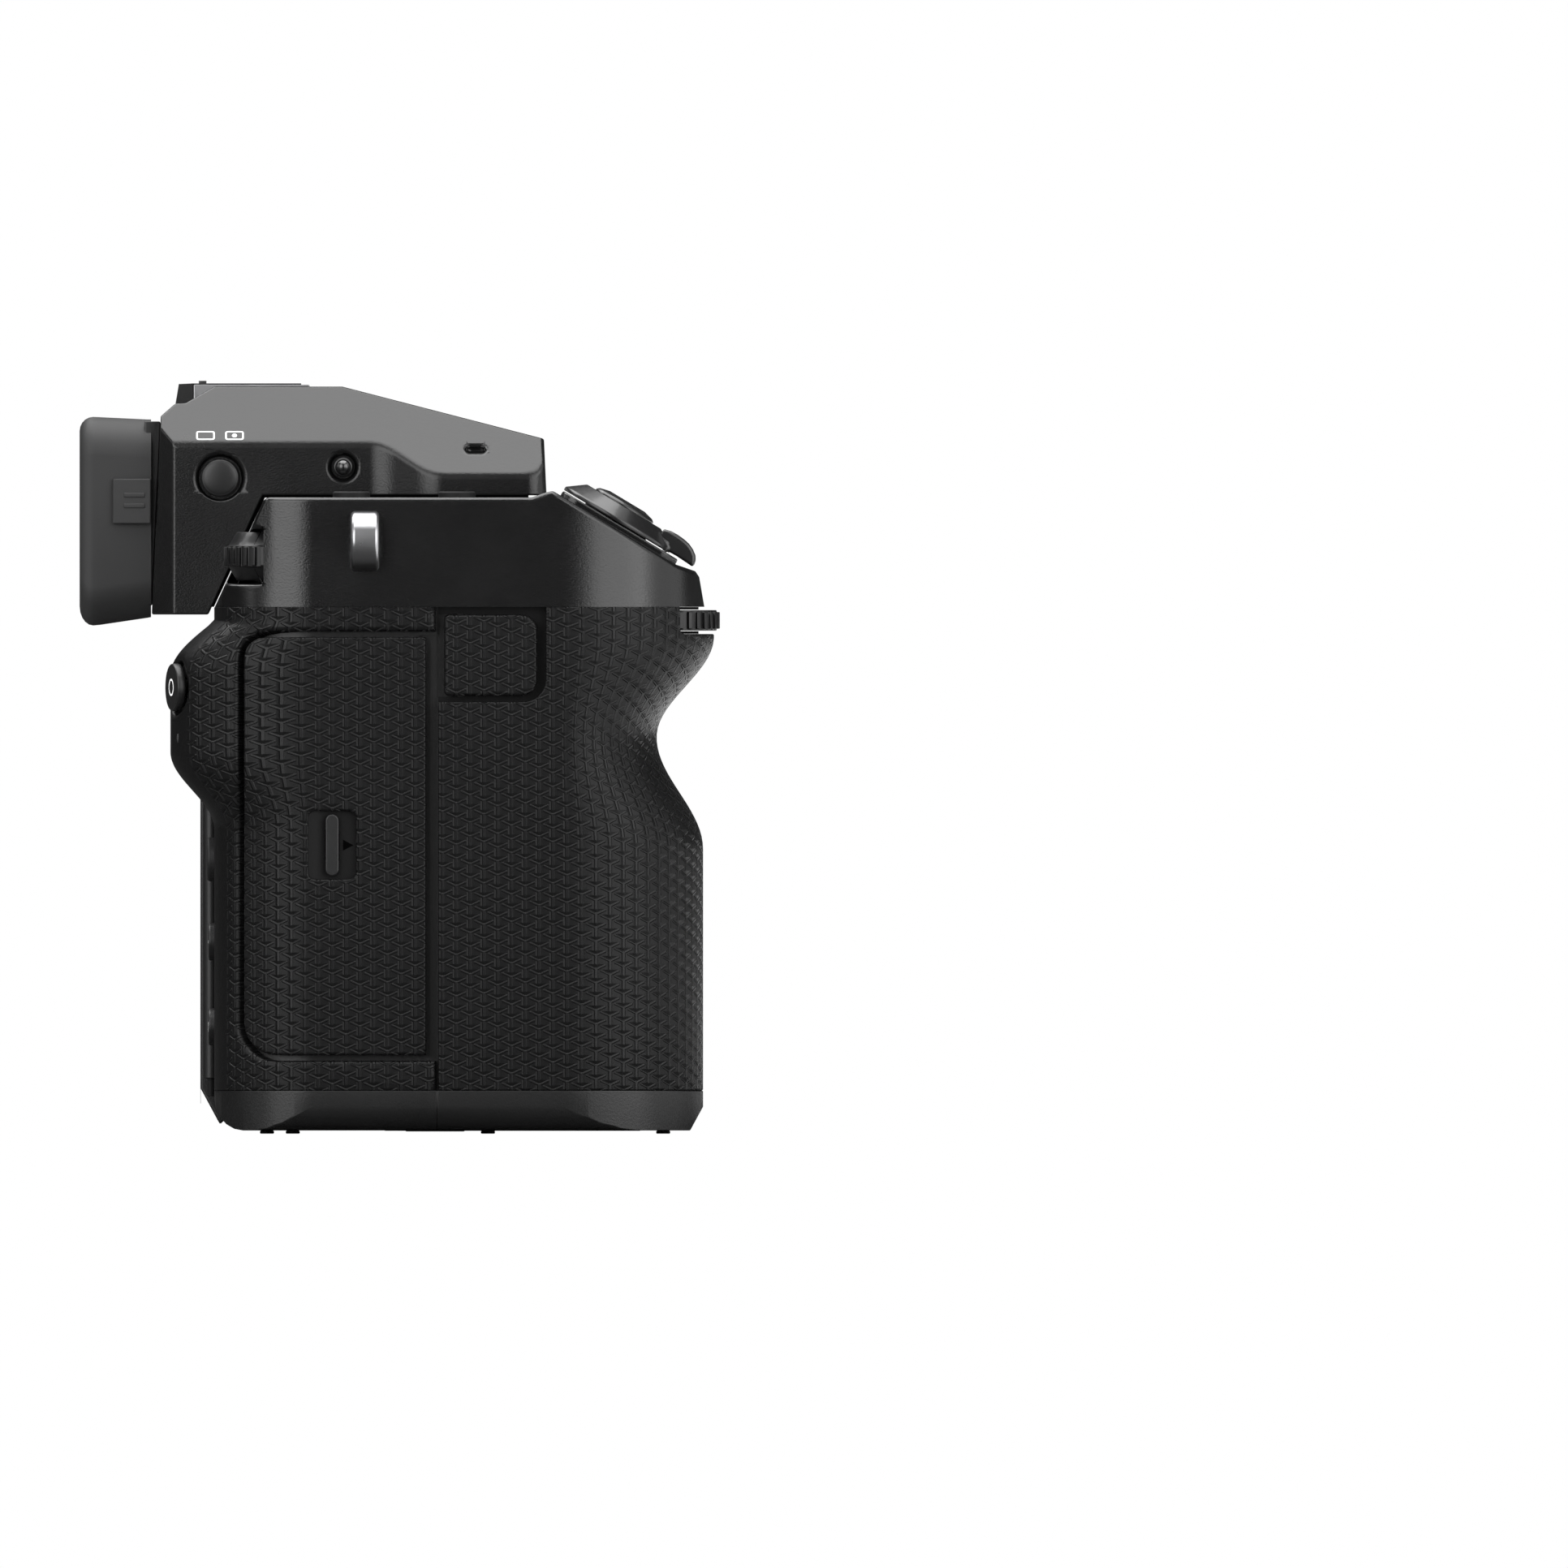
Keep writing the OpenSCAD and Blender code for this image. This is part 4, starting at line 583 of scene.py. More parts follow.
STEEL = Metal("bright_steel", (0.5, 0.5, 0.51), 0.3, "steel", mark=0.15, stretch=(1.0, 0.08, 1.0))
RAIL_METAL = Metal("brushed_alloy", (0.4, 0.4, 0.41), 0.34, "steel", mark=0.12, stretch=(1.0, 0.05, 1.0))
MOUNT_STEEL = TurnedMetal("turned_steel", (0.56, 0.56, 0.57), 0.28, "steel", drift=0.1, centre=(8.0, 47.0))
SCREEN = ScreenGlass("display_glass", (0.003, 0.0033, 0.0036), 0.08, "screen_glass", drift=0.4)
PICTURE = ScreenGlass("picture_area", (0.0012, 0.0013, 0.0016), 0.05, "screen_glass", drift=0.4)
MONITOR = ScreenGlass("monitor_glass", (0.006, 0.0065, 0.007), 0.4, "screen_glass", 0.3, 0.4,
                      coat=0.25, coat_roughness=0.25)
FILTER = ScreenGlass("filter_glass", (0.02, 0.035, 0.05), 0.06, "sensor_filter", drift=0.5)
LENS_GLASS = Glass("eyepiece_glass", (0.82, 0.9, 0.94), 0.02, "clear_glass", drift=0.05)
BOARD = BoardFinish("circuit_board", (0.01, 0.07, 0.03), 0.45, "board")


def box_mm(node: str) -> tuple[Vector, Vector, Vector]:
    """Lowest corner, highest corner and middle of a node at rest, in millimetres."""
    low, high = (Vector(corner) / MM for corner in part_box(node))
    return low, high, (low + high) / 2


def body_of(node: str) -> str:
    """The body that carries a node."""
    return frame["nodes"][node]["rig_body"]


def stretched(place: Sequence[float], size: Sequence[float]) -> Matrix:
    """Matrix that stretches a unit shape and moves it to a place."""
    return Matrix.Translation(place) @ Matrix.Diagonal((*size, 1.0))


def middle_of(edge: bmesh.types.BMEdge) -> Vector:
    """The middle of an edge."""
    return (edge.verts[0].co + edge.verts[1].co) / 2


def all_of(mesh: Mesh) -> list:
    """Every element of a mesh."""
    return mesh.verts[:] + mesh.edges[:] + mesh.faces[:]


def copy_node(node: str) -> Mesh:
    """Copies a node's mesh with its triangles merged into faces.

    Args:
        node: The node's name.

    Returns:
        The mesh, in millimetres.
    """
    mesh = bmesh.new()
    mesh.from_mesh(frame["nodes"][node].data)
    bmesh.ops.scale(mesh, vec=(1.0 / MM,) * 3, verts=mesh.verts)
    bmesh.ops.remove_doubles(mesh, verts=mesh.verts, dist=WELD)
    bmesh.ops.dissolve_limit(mesh, angle_limit=FLAT, verts=mesh.verts, edges=mesh.edges)
    return mesh


def add_loop(mesh: Mesh, places: Iterable[Sequence[float]]) -> tuple[list, list]:
    """Adds a closed loop of edges and gives its vertices and edges."""
    verts = [mesh.verts.new(place) for place in places]
    return verts, [mesh.edges.new(pair) for pair in zip(verts, verts[1:] + verts[:1])]


def bevel(mesh: Mesh, edges: list, width: float, segments: int = 3, careful: bool = False,
          slide: bool = False) -> None:
    """Rounds edges by a width; careful keeps it within what the shortest edges allow."""
    bmesh.ops.bevel(mesh, geom=edges, offset=width, offset_type="OFFSET", segments=segments, profile=0.5,
                    affect="EDGES", clamp_overlap=careful, material=-1, loop_slide=slide)


def round_edges(mesh: Mesh, width: float, segments: int = 2, angle: float = 30.0,
                where: Optional[Test] = None, careful: bool = False) -> None:
    """Rounds the sharp edges of a mesh.

    Args:
        mesh: The mesh, in millimetres.
        width: Width of the rounding.
        segments: Its number of steps.
        angle: Edges bent by more than this many degrees are rounded.
        where: Only edges whose middle passes this test are rounded.
        careful: Keeps the width within what the shortest edges allow.
    """
    chosen = [edge for edge in mesh.edges if edge.calc_face_angle(0.0) > math.radians(angle)
              and (where is None or where(middle_of(edge)))]
    bevel(mesh, chosen, width, segments, careful, slide=True)


def link(name: str, data: bpy.types.ID) -> bpy.types.Object:
    """Adds an object to the scene.

    Args:
        name: The object's name.
        data: Its mesh, lamp or camera.

    Returns:
        The object.
    """
    item = bpy.data.objects.new(name, data)
    bpy.context.scene.collection.objects.link(item)
    return item


def new_object(name: str, mesh: Mesh, material: bpy.types.Material) -> bpy.types.Object:
    """Makes an object of a mesh.

    Args:
        name: The object's name.
        mesh: Its mesh, in metres; it is freed.
        material: Its material.

    Returns:
        The object.
    """
    data = bpy.data.meshes.new(name)
    mesh.to_mesh(data)
    mesh.free()
    data.materials.append(material)
    return link(name, data)


def make_piece(name: str, mesh: Mesh, finish: Finish, body: str, *stands_for: str) -> None:
    """Makes a finished piece that rides on a body.

    Args:
        name: The piece's name.
        mesh: Its mesh, in millimetres; it is freed.
        finish: Its finish.
        body: The body it rides on.
        stands_for: The nodes that it replaces.
    """
    bmesh.ops.scale(mesh, vec=(MM,) * 3, verts=mesh.verts)
    for face in mesh.faces:
        face.smooth = True
    for edge in mesh.edges:
        edge.smooth = edge.calc_face_angle(0.0) < CREASE
    piece = new_object(name, mesh, finish.material())
    weights = piece.modifiers.new("face_weights", "WEIGHTED_NORMAL")
    weights.keep_sharp = True
    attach(piece, body)
    if stands_for:
        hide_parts(*stands_for)
    LOG.info("%s on %s, %d faces", name, body, len(piece.data.polygons))


def fillet(corners: Sequence[Corner], steps: int = 6) -> list[Place]:
    """Rounds the corners of an outline.

    Args:
        corners: Corner points, each with its radius.
        steps: Steps in each round corner.

    Returns:
        The outline's points.
    """
    points: list[Place] = []
    for index, (x, y, radius) in enumerate(corners):
        here = Vector((x, y))
        back = (Vector(corners[index - 1][:2]) - here).normalized()
        ahead = (Vector(corners[(index + 1) % len(corners)][:2]) - here).normalized()
        half = back.angle(ahead) / 2
        if radius <= 0.0 or half > math.radians(89):
            points.append((x, y))
            continue
        middle = here + (back + ahead).normalized() * radius / math.sin(half)
        first, last = (here + way * radius / math.tan(half) - middle for way in (back, ahead))
        for step in range(steps + 1):
            spoke = first.slerp(last, step / steps).normalized() * radius
            points.append(tuple(middle + spoke))
    return points


def rounded(x0: float, y0: float, x1: float, y1: float, radius: float, steps: int = 6) -> list[Place]:
    """A rectangle with round corners."""
    return fillet([(x0, y0, radius), (x1, y0, radius), (x1, y1, radius), (x0, y1, radius)], steps)


def densify(points: Sequence[Place], spacing: float, closed: bool = True) -> list[Place]:
    """Splits the long stretches of an outline.

    Args:
        points: The outline's points.
        spacing: The longest stretch that is left whole.
        closed: Whether the last point leads back to the first.

    Returns:
        The outline's points, with the new ones.
    """
    result: list[Place] = []
    ends = [*points[1:], points[0]] if closed else points[1:]
    for start, end in zip(points, ends):
        a, b = Vector(start), Vector(end)
        parts = max(1, math.ceil((b - a).length / spacing))
        result += [tuple(a.lerp(b, part / parts)) for part in range(parts)]
    return result if closed else [*result, points[-1]]


def circle(radius: float, steps: int = 40, x: float = 0.0, y: float = 0.0) -> list[Place]:
    """A round outline about a middle."""
    turns = [2 * math.pi * step / steps for step in range(steps)]
    return [(x + radius * math.cos(turn), y + radius * math.sin(turn)) for turn in turns]


def spread(low: float, high: float, spacing: float) -> list[float]:
    """Evenly spaced values from low to high, about a spacing apart."""
    parts = max(1, round((high - low) / spacing))
    return [low + (high - low) * part / parts for part in range(parts + 1)]


def ease(value: float, low: float, high: float) -> float:
    """Rises from 0 at low to 1 at high along a half wave."""
    share = min(1.0, max(0.0, (value - low) / (high - low)))
    return (1 - math.cos(math.pi * share)) / 2


def mix(a: float, b: float, share: float) -> float:
    """A value between two others."""
    return a + (b - a) * share


def bent(centre: Sequence[float], half: Place, turn: float, z: float) -> Vector:
    """A point at a height and a turn of an ellipse with these half axes."""
    return Vector((centre[0] + half[0] * math.cos(turn), centre[1] + half[1] * math.sin(turn), z))


@dataclass
class HandSide:
    """The covered side of the body, unrolled from the rear face to the inner face of the grip.

    A place on it is (s, z): s runs from the screen's edge round the thumb corner, along the side
    face and round the nose of the grip, and z is the height.
    """

    rubber_x: float = 38.0
    screen_proud: float = 2.1
    rear_round: float = 15.4
    nose_x: float = 52.014
    nose_y0: float = 25.0
    nose_y1: float = 33.0
    grip_in: float = 35.0
    wall_y: float = 16.5
    split_y: float = 5.8
    reach_low: float = 47.1
    reach_waist: float = 39.9
    bend_z: float = 44.2
    waist_z: float = 61.6
    hook_z: float = 77.2
    thumb_rise: float = 6.8
    thumb_z: tuple[float, float, float, float] = (47.3, 59.3, 71.2, 79.6)
    thumb_slope: float = 7.0
    quick_turn: float = 79.0

    def __post_init__(self) -> None:
        """Takes the outer faces from the frame and lays out the stretches of s."""
        low, high, _ = box_mm("grip_cover")
        self.side_x = -low.x
        self.reach_hook = -low.y
        self.z0, self.z1 = low.z, high.z
        self.rear_y = box_mm("lcd_screen")[1].y - self.screen_proud
        self.corner = Vector((self.rear_round - self.side_x, self.rear_y - self.rear_round))
        outer = math.hypot(self.side_x - self.nose_x, self.reach_low - self.nose_y0)
        inner = math.hypot(self.nose_x - self.grip_in, self.reach_low - self.nose_y1)
        stretches = (self.side_x - self.rear_round - self.rubber_x, self.rear_round * QUARTER,
                     self.corner.y + self.nose_y0, outer * math.pi / math.sqrt(8),
                     inner * math.pi / math.sqrt(8), self.nose_y1 - self.wall_y)
        self.marks = [0.0]
        for stretch in stretches:
            self.marks.append(self.marks[-1] + stretch)
        self.split_s = self.marks[2] + self.corner.y + self.split_y

    def reach(self, z: float) -> float:
        """How far the grip's front stands out: straight, finger recess, hook.

        Args:
            z: Height.

        Returns:
            The distance in front of the body's middle.
        """
        if z < self.waist_z:
            return mix(self.reach_low, self.reach_waist, ease(z, self.bend_z, self.waist_z))
        return mix(self.reach_waist, self.reach_hook, ease(z, self.waist_z, self.hook_z))

    def swell(self, z: float) -> float:
        """How far the thumb rest stands out behind the rear face.

        Args:
            z: Height.

        Returns:
            The distance behind the face.
        """
        rise, full, fall, end = self.thumb_z
        share = min(1.0, max(0.0, (end - z) / (end - fall)))
        return self.thumb_rise * ease(z, rise, full) * math.sin(QUARTER * share)

    def point(self, s: float, z: float) -> Vector:
        """Wraps a place on the body.

        Args:
            s: Place along the outline.
            z: Height.

        Returns:
            The point on the outer face.
        """
        rear, corner, side, nose, inner, _ = self.marks[1:]
        if s < rear:
            return Vector((-self.rubber_x - s, self.rear_y + self.padding(s, z), z))
        if s < corner:
            half = (-self.rear_round, self.rear_round + self.swell(z))
            return bent(self.corner, half, (corner - s) / (corner - rear) * QUARTER, z)
        if s < side:
            return Vector((-self.side_x, self.corner.y - (s - corner), z))
        if s < nose:
            half = (self.nose_x - self.side_x, self.nose_y0 - self.reach(z))
            return bent((-self.nose_x, -self.nose_y0), half, (s - side) / (nose - side) * QUARTER, z)
        if s < inner:
            half = (self.nose_x - self.grip_in, self.nose_y1 - self.reach(z))
            return bent((-self.nose_x, -self.nose_y1), half, (inner - s) / (inner - nose) * QUARTER, z)
        return Vector((-self.grip_in, -self.nose_y1 + (s - inner), z))

    def padding(self, s: float, z: float) -> float:
        """How much thicker the covering is at a place of the thumb rest.

        Args:
            s: Place along the outline.
            z: Height.

        Returns:
            The extra thickness.
        """
        rear, corner = self.marks[1:3]
        if s < rear:
            return self.swell(z) * ease(s, 0, self.thumb_slope)
        return self.swell(z) * math.sin(max(0.0, (corner - s) / (corner - rear)) * QUARTER)

    def corner_s(self, share: float) -> float:
        """Finds s at a share of the thumb corner's turn, from the side face."""
        return mix(self.marks[2], self.marks[1], share)

    def along(self, y: float, z: float) -> float:
        """Finds s for a point of the side or the thumb corner that is seen from the side.

        Args:
            y: Place from front to back.
            z: Height.

        Returns:
            The place along the outline.
        """
        if y <= self.corner.y:
            return self.marks[2] + self.corner.y - y
        depth = self.rear_round + self.swell(z)
        return self.corner_s(math.asin(min(1.0, (y - self.corner.y) / depth)) / QUARTER)

    def nose_s(self, y: float, z: float, inner: bool) -> float:
        """Finds s on the nose of the grip.

        Args:
            y: Place from front to back.
            z: Height.
            inner: True for the half that faces the lens.

        Returns:
            The place along the outline.
        """
        start = self.nose_y1 if inner else self.nose_y0
        turn = math.asin(min(1.0, (-y - start) / (self.reach(z) - start))) / QUARTER
        return mix(self.marks[5 if inner else 3], self.marks[4], turn)


@dataclass
class PortCorner:
    """The covered front corner on the port side, unrolled from the mount to the ports."""

    round_r: float = 9.0

    def __post_init__(self) -> None:
        """Takes the outer faces from the frame."""
        low, high, _ = box_mm("side_cover")
        self.start_x, self.front_y = low.x, low.y
        self.z0, self.z1 = low.z, high.z
        self.flat = high.x - self.round_r - low.x
        self.turned = self.flat + self.round_r * QUARTER
        self.end = self.turned + high.y - (self.front_y + self.round_r)

    def point(self, s: float, z: float) -> Vector:
        """Wraps a place on the body.

        Args:
            s: Place along the outline.
            z: Height.

        Returns:
            The point on the outer face.
        """
        if s < self.flat:
            return Vector((self.start_x + s, self.front_y, z))
        middle = Vector((self.start_x + self.flat, self.front_y + self.round_r, z))
        if s < self.turned:
            turn = (s - self.flat) / self.round_r
            return middle + Vector((math.sin(turn), -math.cos(turn), 0)) * self.round_r
        return middle + Vector((self.round_r, s - self.turned, 0))


@dataclass
class Sheet:
    """A flat covering that is cut to its outline, edge-rounded and wrapped on the body.

    Its rims are widths of rounding, each with the test for its stretch of the edge.
    """

    outline: Sequence[Place]
    holes: Sequence[Sequence[Place]] = ()
    thickness: float = 2.0
    rims: Sequence[tuple[float, Optional[Test]]] = ()
    bends: tuple[Sequence[float], Sequence[float]] = ((), ())
    padding: Optional[Callable[[float, float], float]] = None
    reach: float = 0.02

    def lay(self, name: str, point: Wrap, finish: Finish, body: str, *stands_for: str) -> None:
        """Cuts and wraps the sheet, and makes it a piece.

        Args:
            name: The piece's name.
            point: Gives the point on the body for a place on the sheet.
            finish: The piece's finish.
            body: The body it rides on.
            stands_for: The nodes that it replaces.
        """
        mesh = bmesh.new()
        for loop in (self.outline, *self.holes):
            add_loop(mesh, [(x, y, 0.0) for x, y in loop])
        bmesh.ops.triangle_fill(mesh, edges=mesh.edges[:], use_beauty=True, normal=(0, 0, 1))
        grown = bmesh.ops.extrude_face_region(mesh, geom=mesh.faces[:], use_keep_orig=True)["geom"]
        lower = [item for item in grown if isinstance(item, bmesh.types.BMVert)]
        bmesh.ops.translate(mesh, vec=(0, 0, -self.thickness), verts=lower)
        bmesh.ops.recalc_face_normals(mesh, faces=mesh.faces[:])
        self._round_rims(mesh)
        for values, way in zip(self.bends, (RIGHT, BACK)):
            for value in values:
                bmesh.ops.bisect_plane(mesh, geom=all_of(mesh), dist=WELD, plane_co=way * value, plane_no=way)
        self._map_and_wrap(mesh, point)
        make_piece(name, mesh, finish, body, *stands_for)

    def _round_rims(self, mesh: Mesh) -> None:
        """Rounds the outer rim, with its own width on each stretch.

        Args:
            mesh: The flat sheet.
        """
        for width, test in self.rims:
            chosen = [edge for edge in mesh.edges if all(abs(vert.co.z) < WELD for vert in edge.verts)
                      and edge.calc_face_angle(0.0) > 1.0 and (test is None or test(middle_of(edge)))]
            bevel(mesh, chosen, width)

    def _map_and_wrap(self, mesh: Mesh, point: Wrap) -> None:
        """Keeps the flat sheet as the map and lays every vertex on the body.

        Args:
            mesh: The flat sheet.
            point: Gives the point on the body for a place on the sheet.
        """
        layer = mesh.loops.layers.uv.new("sheet")
        for face in mesh.faces:
            for loop in face.loops:
                loop[layer].uv = loop.vert.co.xy * MM
        for vert in mesh.verts:
            s, z, height = vert.co
            if self.padding and height < WELD - self.thickness:
                height -= self.padding(s, z)
            across = point(s + self.reach, z) - point(s - self.reach, z)
            up = point(s, z + self.reach) - point(s, z - self.reach)
            vert.co = point(s, z) + across.cross(up).normalized() * height


@dataclass
class Coverings:
    """Rubber coverings of the body and the doors that share their surface."""

    hand: HandSide
    skin: float = 2.0
    door_skin: float = 1.7
    seam: float = 0.2
    rim: float = 0.25
    dial_gap: float = 0.5
    dial_back: float = 11.9
    dial_round: float = 1.0
    controls_in: float = 8.8
    control_holes: tuple[tuple[str, float], ...] = (
        ("menu_button", 3.2), ("display_button", 3.2), ("focus_stick", 4.4), ("q_button", 4.4))
    cap_side: float = 1.3
    cap_below: float = 1.0
    cap_round: float = 3.6
    cap_inset: float = 1.5
    cap_slit: float = 0.15
    cap_hinge: float = 3.0
    cap_corners: Place = (2.6, 0.7)
    cap_rim: float = 0.55
    door_gap: float = 0.85
    door_lap: float = 0.4
    door_corners: Place = (5.0, 3.2)
    door_rim: float = 0.42
    opening_rim: float = 0.8
    thumb_rim: float = 0.22
    latch_half: Place = (3.7, 5.3)
    latch_round: float = 1.2

    def __post_init__(self) -> None:
        """Takes the doors' boxes from the frame."""
        self.door_low, self.door_high, _ = box_mm("card_door")
        self.cap_low, self.cap_high, _ = box_mm("remote_cap")

    def build(self) -> None:
        """Builds every covering."""
        for cover in (self.grip, self.thumb, self.card_door, self.remote_cap, self.cap_well, self.port_side):
            cover()

    def _bends(self, low: float, high: float) -> tuple[list[float], list[float]]:
        """Finds where a sheet on the hand side has to bend.

        Args:
            low: Where the sheet begins along the side.
            high: Where it ends.

        Returns:
            Its cut lines along the side, and their heights.
        """
        hand, marks = self.hand, self.hand.marks
        spans = ((marks[1], marks[2], 0.9), (marks[3], marks[5], 1.0), (0.3, marks[1], 1.2))
        across = sorted(s for span in spans for s in spread(*span) if low < s < high)
        return across, spread(hand.bend_z, hand.z1, 1.0)[:-1]

    def grip(self) -> None:
        """Covering of the grip, with the dial notch and the room of the remote cap."""
        hand = self.hand
        start, end = hand.split_s + self.seam, hand.marks[6]
        dial_low, dial_high, _ = box_mm("front_dial")
        notch_z, notch_y = dial_low.z - self.dial_gap, dial_high.y - self.dial_back
        outer, inner = (hand.nose_s(notch_y, hand.z1, side) for side in (False, True))
        cap_edge, cap_z = hand.along(self.cap_low.y - self.cap_side, hand.z0), self.cap_low.z - self.cap_below
        outline = fillet([
            (start, hand.z0, 0), (end, hand.z0, 0), (end, hand.z1, 0), (inner, hand.z1, 0),
            (inner, notch_z, self.dial_round), (outer, notch_z, self.dial_round), (outer, hand.z1, 0),
            (cap_edge, hand.z1, 0),
            (cap_edge, cap_z, self.cap_round), (start, cap_z, 0)])
        sheet = Sheet(densify(outline, 2.0), (), self.skin, ((self.rim, None),), self._bends(start, end))
        sheet.lay("grip_covering", hand.point, SKIN, "camera_body", "grip_cover")

    def _door_edge(self, front: float, margin: float = 0.0) -> list[Place]:
        """Draws the card door's edge as it is seen from the side.

        Args:
            front: Where the edge ends at the front.
            margin: How far outside the door it runs.

        Returns:
            The outline's points.
        """
        low, high, rear = self.door_low.z - margin, self.door_high.z + margin, self.door_high.y + margin
        lower, upper = self.door_corners
        return fillet([(front, low, 0), (rear, low, lower + margin), (rear, high, upper + margin),
                       (front, high, 0)])

    def thumb(self) -> None:
        """Covering of the thumb side, round the card door."""
        hand = self.hand
        end = hand.split_s - self.seam
        edge = densify(self._door_edge(-hand.split_y, self.door_gap), 1.5, closed=False)
        opening = [(min(hand.along(y, z), end), z) for y, z in edge]
        outline = [(end, hand.z1), (0.0, hand.z1), (0.0, hand.z0), (end, hand.z0), *opening]
        places = [hand.marks[1] - self.controls_in] * 3 + [hand.corner_s(hand.quick_turn / 90)]
        holes = [circle(radius, x=s, y=box_mm(node)[2].z)
                 for (node, radius), s in zip(self.control_holes, places)]

        def by_door(place: Vector) -> bool:
            """True on the rim of the door's opening."""
            return place.x > hand.marks[1] and hand.z0 + 1.0 < place.y < hand.z1 - 1.0

        rims = ((self.opening_rim, by_door), (self.thumb_rim, lambda place: not by_door(place)))
        sheet = Sheet(outline, holes, self.skin, rims, self._bends(0.0, end), hand.padding)
        sheet.lay("thumb_covering", hand.point, SKIN, "camera_body", "thumb_cover")

    def card_door(self) -> None:
        """Card door, cut from the same surface, with its latch well."""
        hand = self.hand
        edge = densify(self._door_edge(self.door_low.y + self.door_lap), 1.5)
        outline = [(hand.along(y, z), z) for y, z in edge]
        middle, (half_y, half_z) = box_mm("card_latch")[2], self.latch_half
        rear, front = (hand.along(middle.y + y, middle.z) for y in (half_y, -half_y))
        well = rounded(rear, middle.z - half_z, front, middle.z + half_z, self.latch_round)
        bends = self._bends(hand.along(self.door_high.y, 50.0) - 4, hand.split_s)
        sheet = Sheet(outline, [well], self.door_skin, ((self.door_rim, None),), bends)
        sheet.lay("card_door_covering", hand.point, SKIN, "card_door_body", "card_door")

    def remote_cap(self) -> None:
        """Cap over the remote terminal."""
        hand, low, high = self.hand, self.cap_low, self.cap_high
        front, rear = self.cap_corners
        corners = [(low.y, low.z, front), (low.y, high.z, front), (high.y, high.z, rear),
                   (high.y, low.z, rear)]
        outline = [(hand.along(y, z), z) for y, z in reversed(fillet(corners))]
        sheet = Sheet(outline, (), self.door_skin, ((self.cap_rim, None),))
        sheet.lay("remote_cap_covering", hand.point, SKIN, "remote_cap_body", "remote_cap")

    def cap_well(self) -> None:
        """Dark ledge round the remote cap, at the bottom of its gap."""
        hand, low, high = self.hand, self.cap_low, self.cap_high
        start, end = hand.split_s + self.seam, hand.along(low.y - self.cap_side, low.z)
        hinge, inner = hand.along(high.y - self.cap_hinge, low.z), hand.along(low.y + self.cap_inset, low.z)
        base, top = low.z - self.cap_below, hand.z1
        slit_low, slit_high = low.z - self.cap_slit, high.z + self.cap_slit
        in_low, in_high = low.z + self.cap_inset, high.z - self.cap_inset
        rim = fillet([(start, base, 0), (end, base, self.cap_round), (end, top, 0), (start, top, 0),
                      (start, slit_high, 0), (hinge, slit_high, 0), (hinge, in_high, 0),
                      (inner, in_high, 0.8), (inner, in_low, 0.8), (hinge, in_low, 0),
                      (hinge, slit_low, 0), (start, slit_low, 0)])
        depth = RIGHT * (self.skin - 0.15)
        Sheet(rim, (), 0.1).lay("remote_cap_well", lambda s, z: hand.point(s, z) + depth, WELL,
                                "camera_body")

    def port_side(self) -> None:
        """Covering of the front corner on the port side."""
        corner = PortCorner()
        ends = [(0, corner.z0), (corner.end, corner.z0), (corner.end, corner.z1), (0, corner.z1)]
        outline = densify(ends, 4.0)
        bends = (spread(corner.flat, corner.turned, 0.9), ())
        sheet = Sheet(outline, (), self.skin, ((self.rim, None),), bends)
        sheet.lay("port_side_covering", corner.point, PORT_SKIN, "camera_body", "side_cover")


@dataclass(frozen=True)
class Stretches:
    """Tests for the stretches of edges that are rounded apart from the rest, in millimetres."""

    base_z: float = 6.9
    front_y: float = -16.4
    rear_y: float = 28.7
    top_z: float = 82.4
    deck_z: float = 83.0
    deck_end: float = -36.0
    side_x: float = -71.0
    corner: Corner = (-55.8, 13.4, 15.1)
    nose: Place = (-52.014, -25.0)
    nose_half: Place = (19.186, 22.3)
    nose_share: float = 0.96
    lever_y: float = -41.2
    lever_half: float = 2.45
    finder_x: Place = (-18.5, 34.5)
    finder_z: Place = (99.5, 108.0)

    def front(self, place: Vector) -> bool:
        """True on the base and the front face."""
        return place.z < self.base_z or place.y < self.front_y

    def rear(self, place: Vector) -> bool:
        """True on the base and the rear face."""
        return place.z < self.base_z or place.y > self.rear_y

    def deck(self, place: Vector) -> bool:
        """True above the top cover's lower edge."""
        return place.z > self.top_z

    def deck_rim(self, place: Vector) -> bool:
        """Tells the top rim of the cover along the grip side, its rear corner and the nose.

        Args:
            place: The middle of an edge.

        Returns:
            True on the rim.
        """
        if place.z < self.deck_z or place.x > self.deck_end:
            return False
        x, y, radius = self.corner
        corner = place.y > y and math.hypot(place.x - x, place.y - y) > radius
        share = [(place[axis] - self.nose[axis]) / self.nose_half[axis] for axis in (0, 1)]
        nose = place.y < self.nose[1] and math.hypot(*share) > self.nose_share
        return place.x < self.side_x or corner or nose

    def lever_edge(self, place: Vector) -> bool:
        """True on the side edges of the power lever, past its collar."""
        return place.y < self.lever_y and abs(place.x - self.nose[0]) > self.lever_half

    def finder_crease(self, place: Vector) -> bool:
        """True on the creases between the finder's walls and its sloping faces."""
        outside = place.x < self.finder_x[0] or place.x > self.finder_x[1]
        return outside and self.finder_z[0] < place.z < self.finder_z[1]


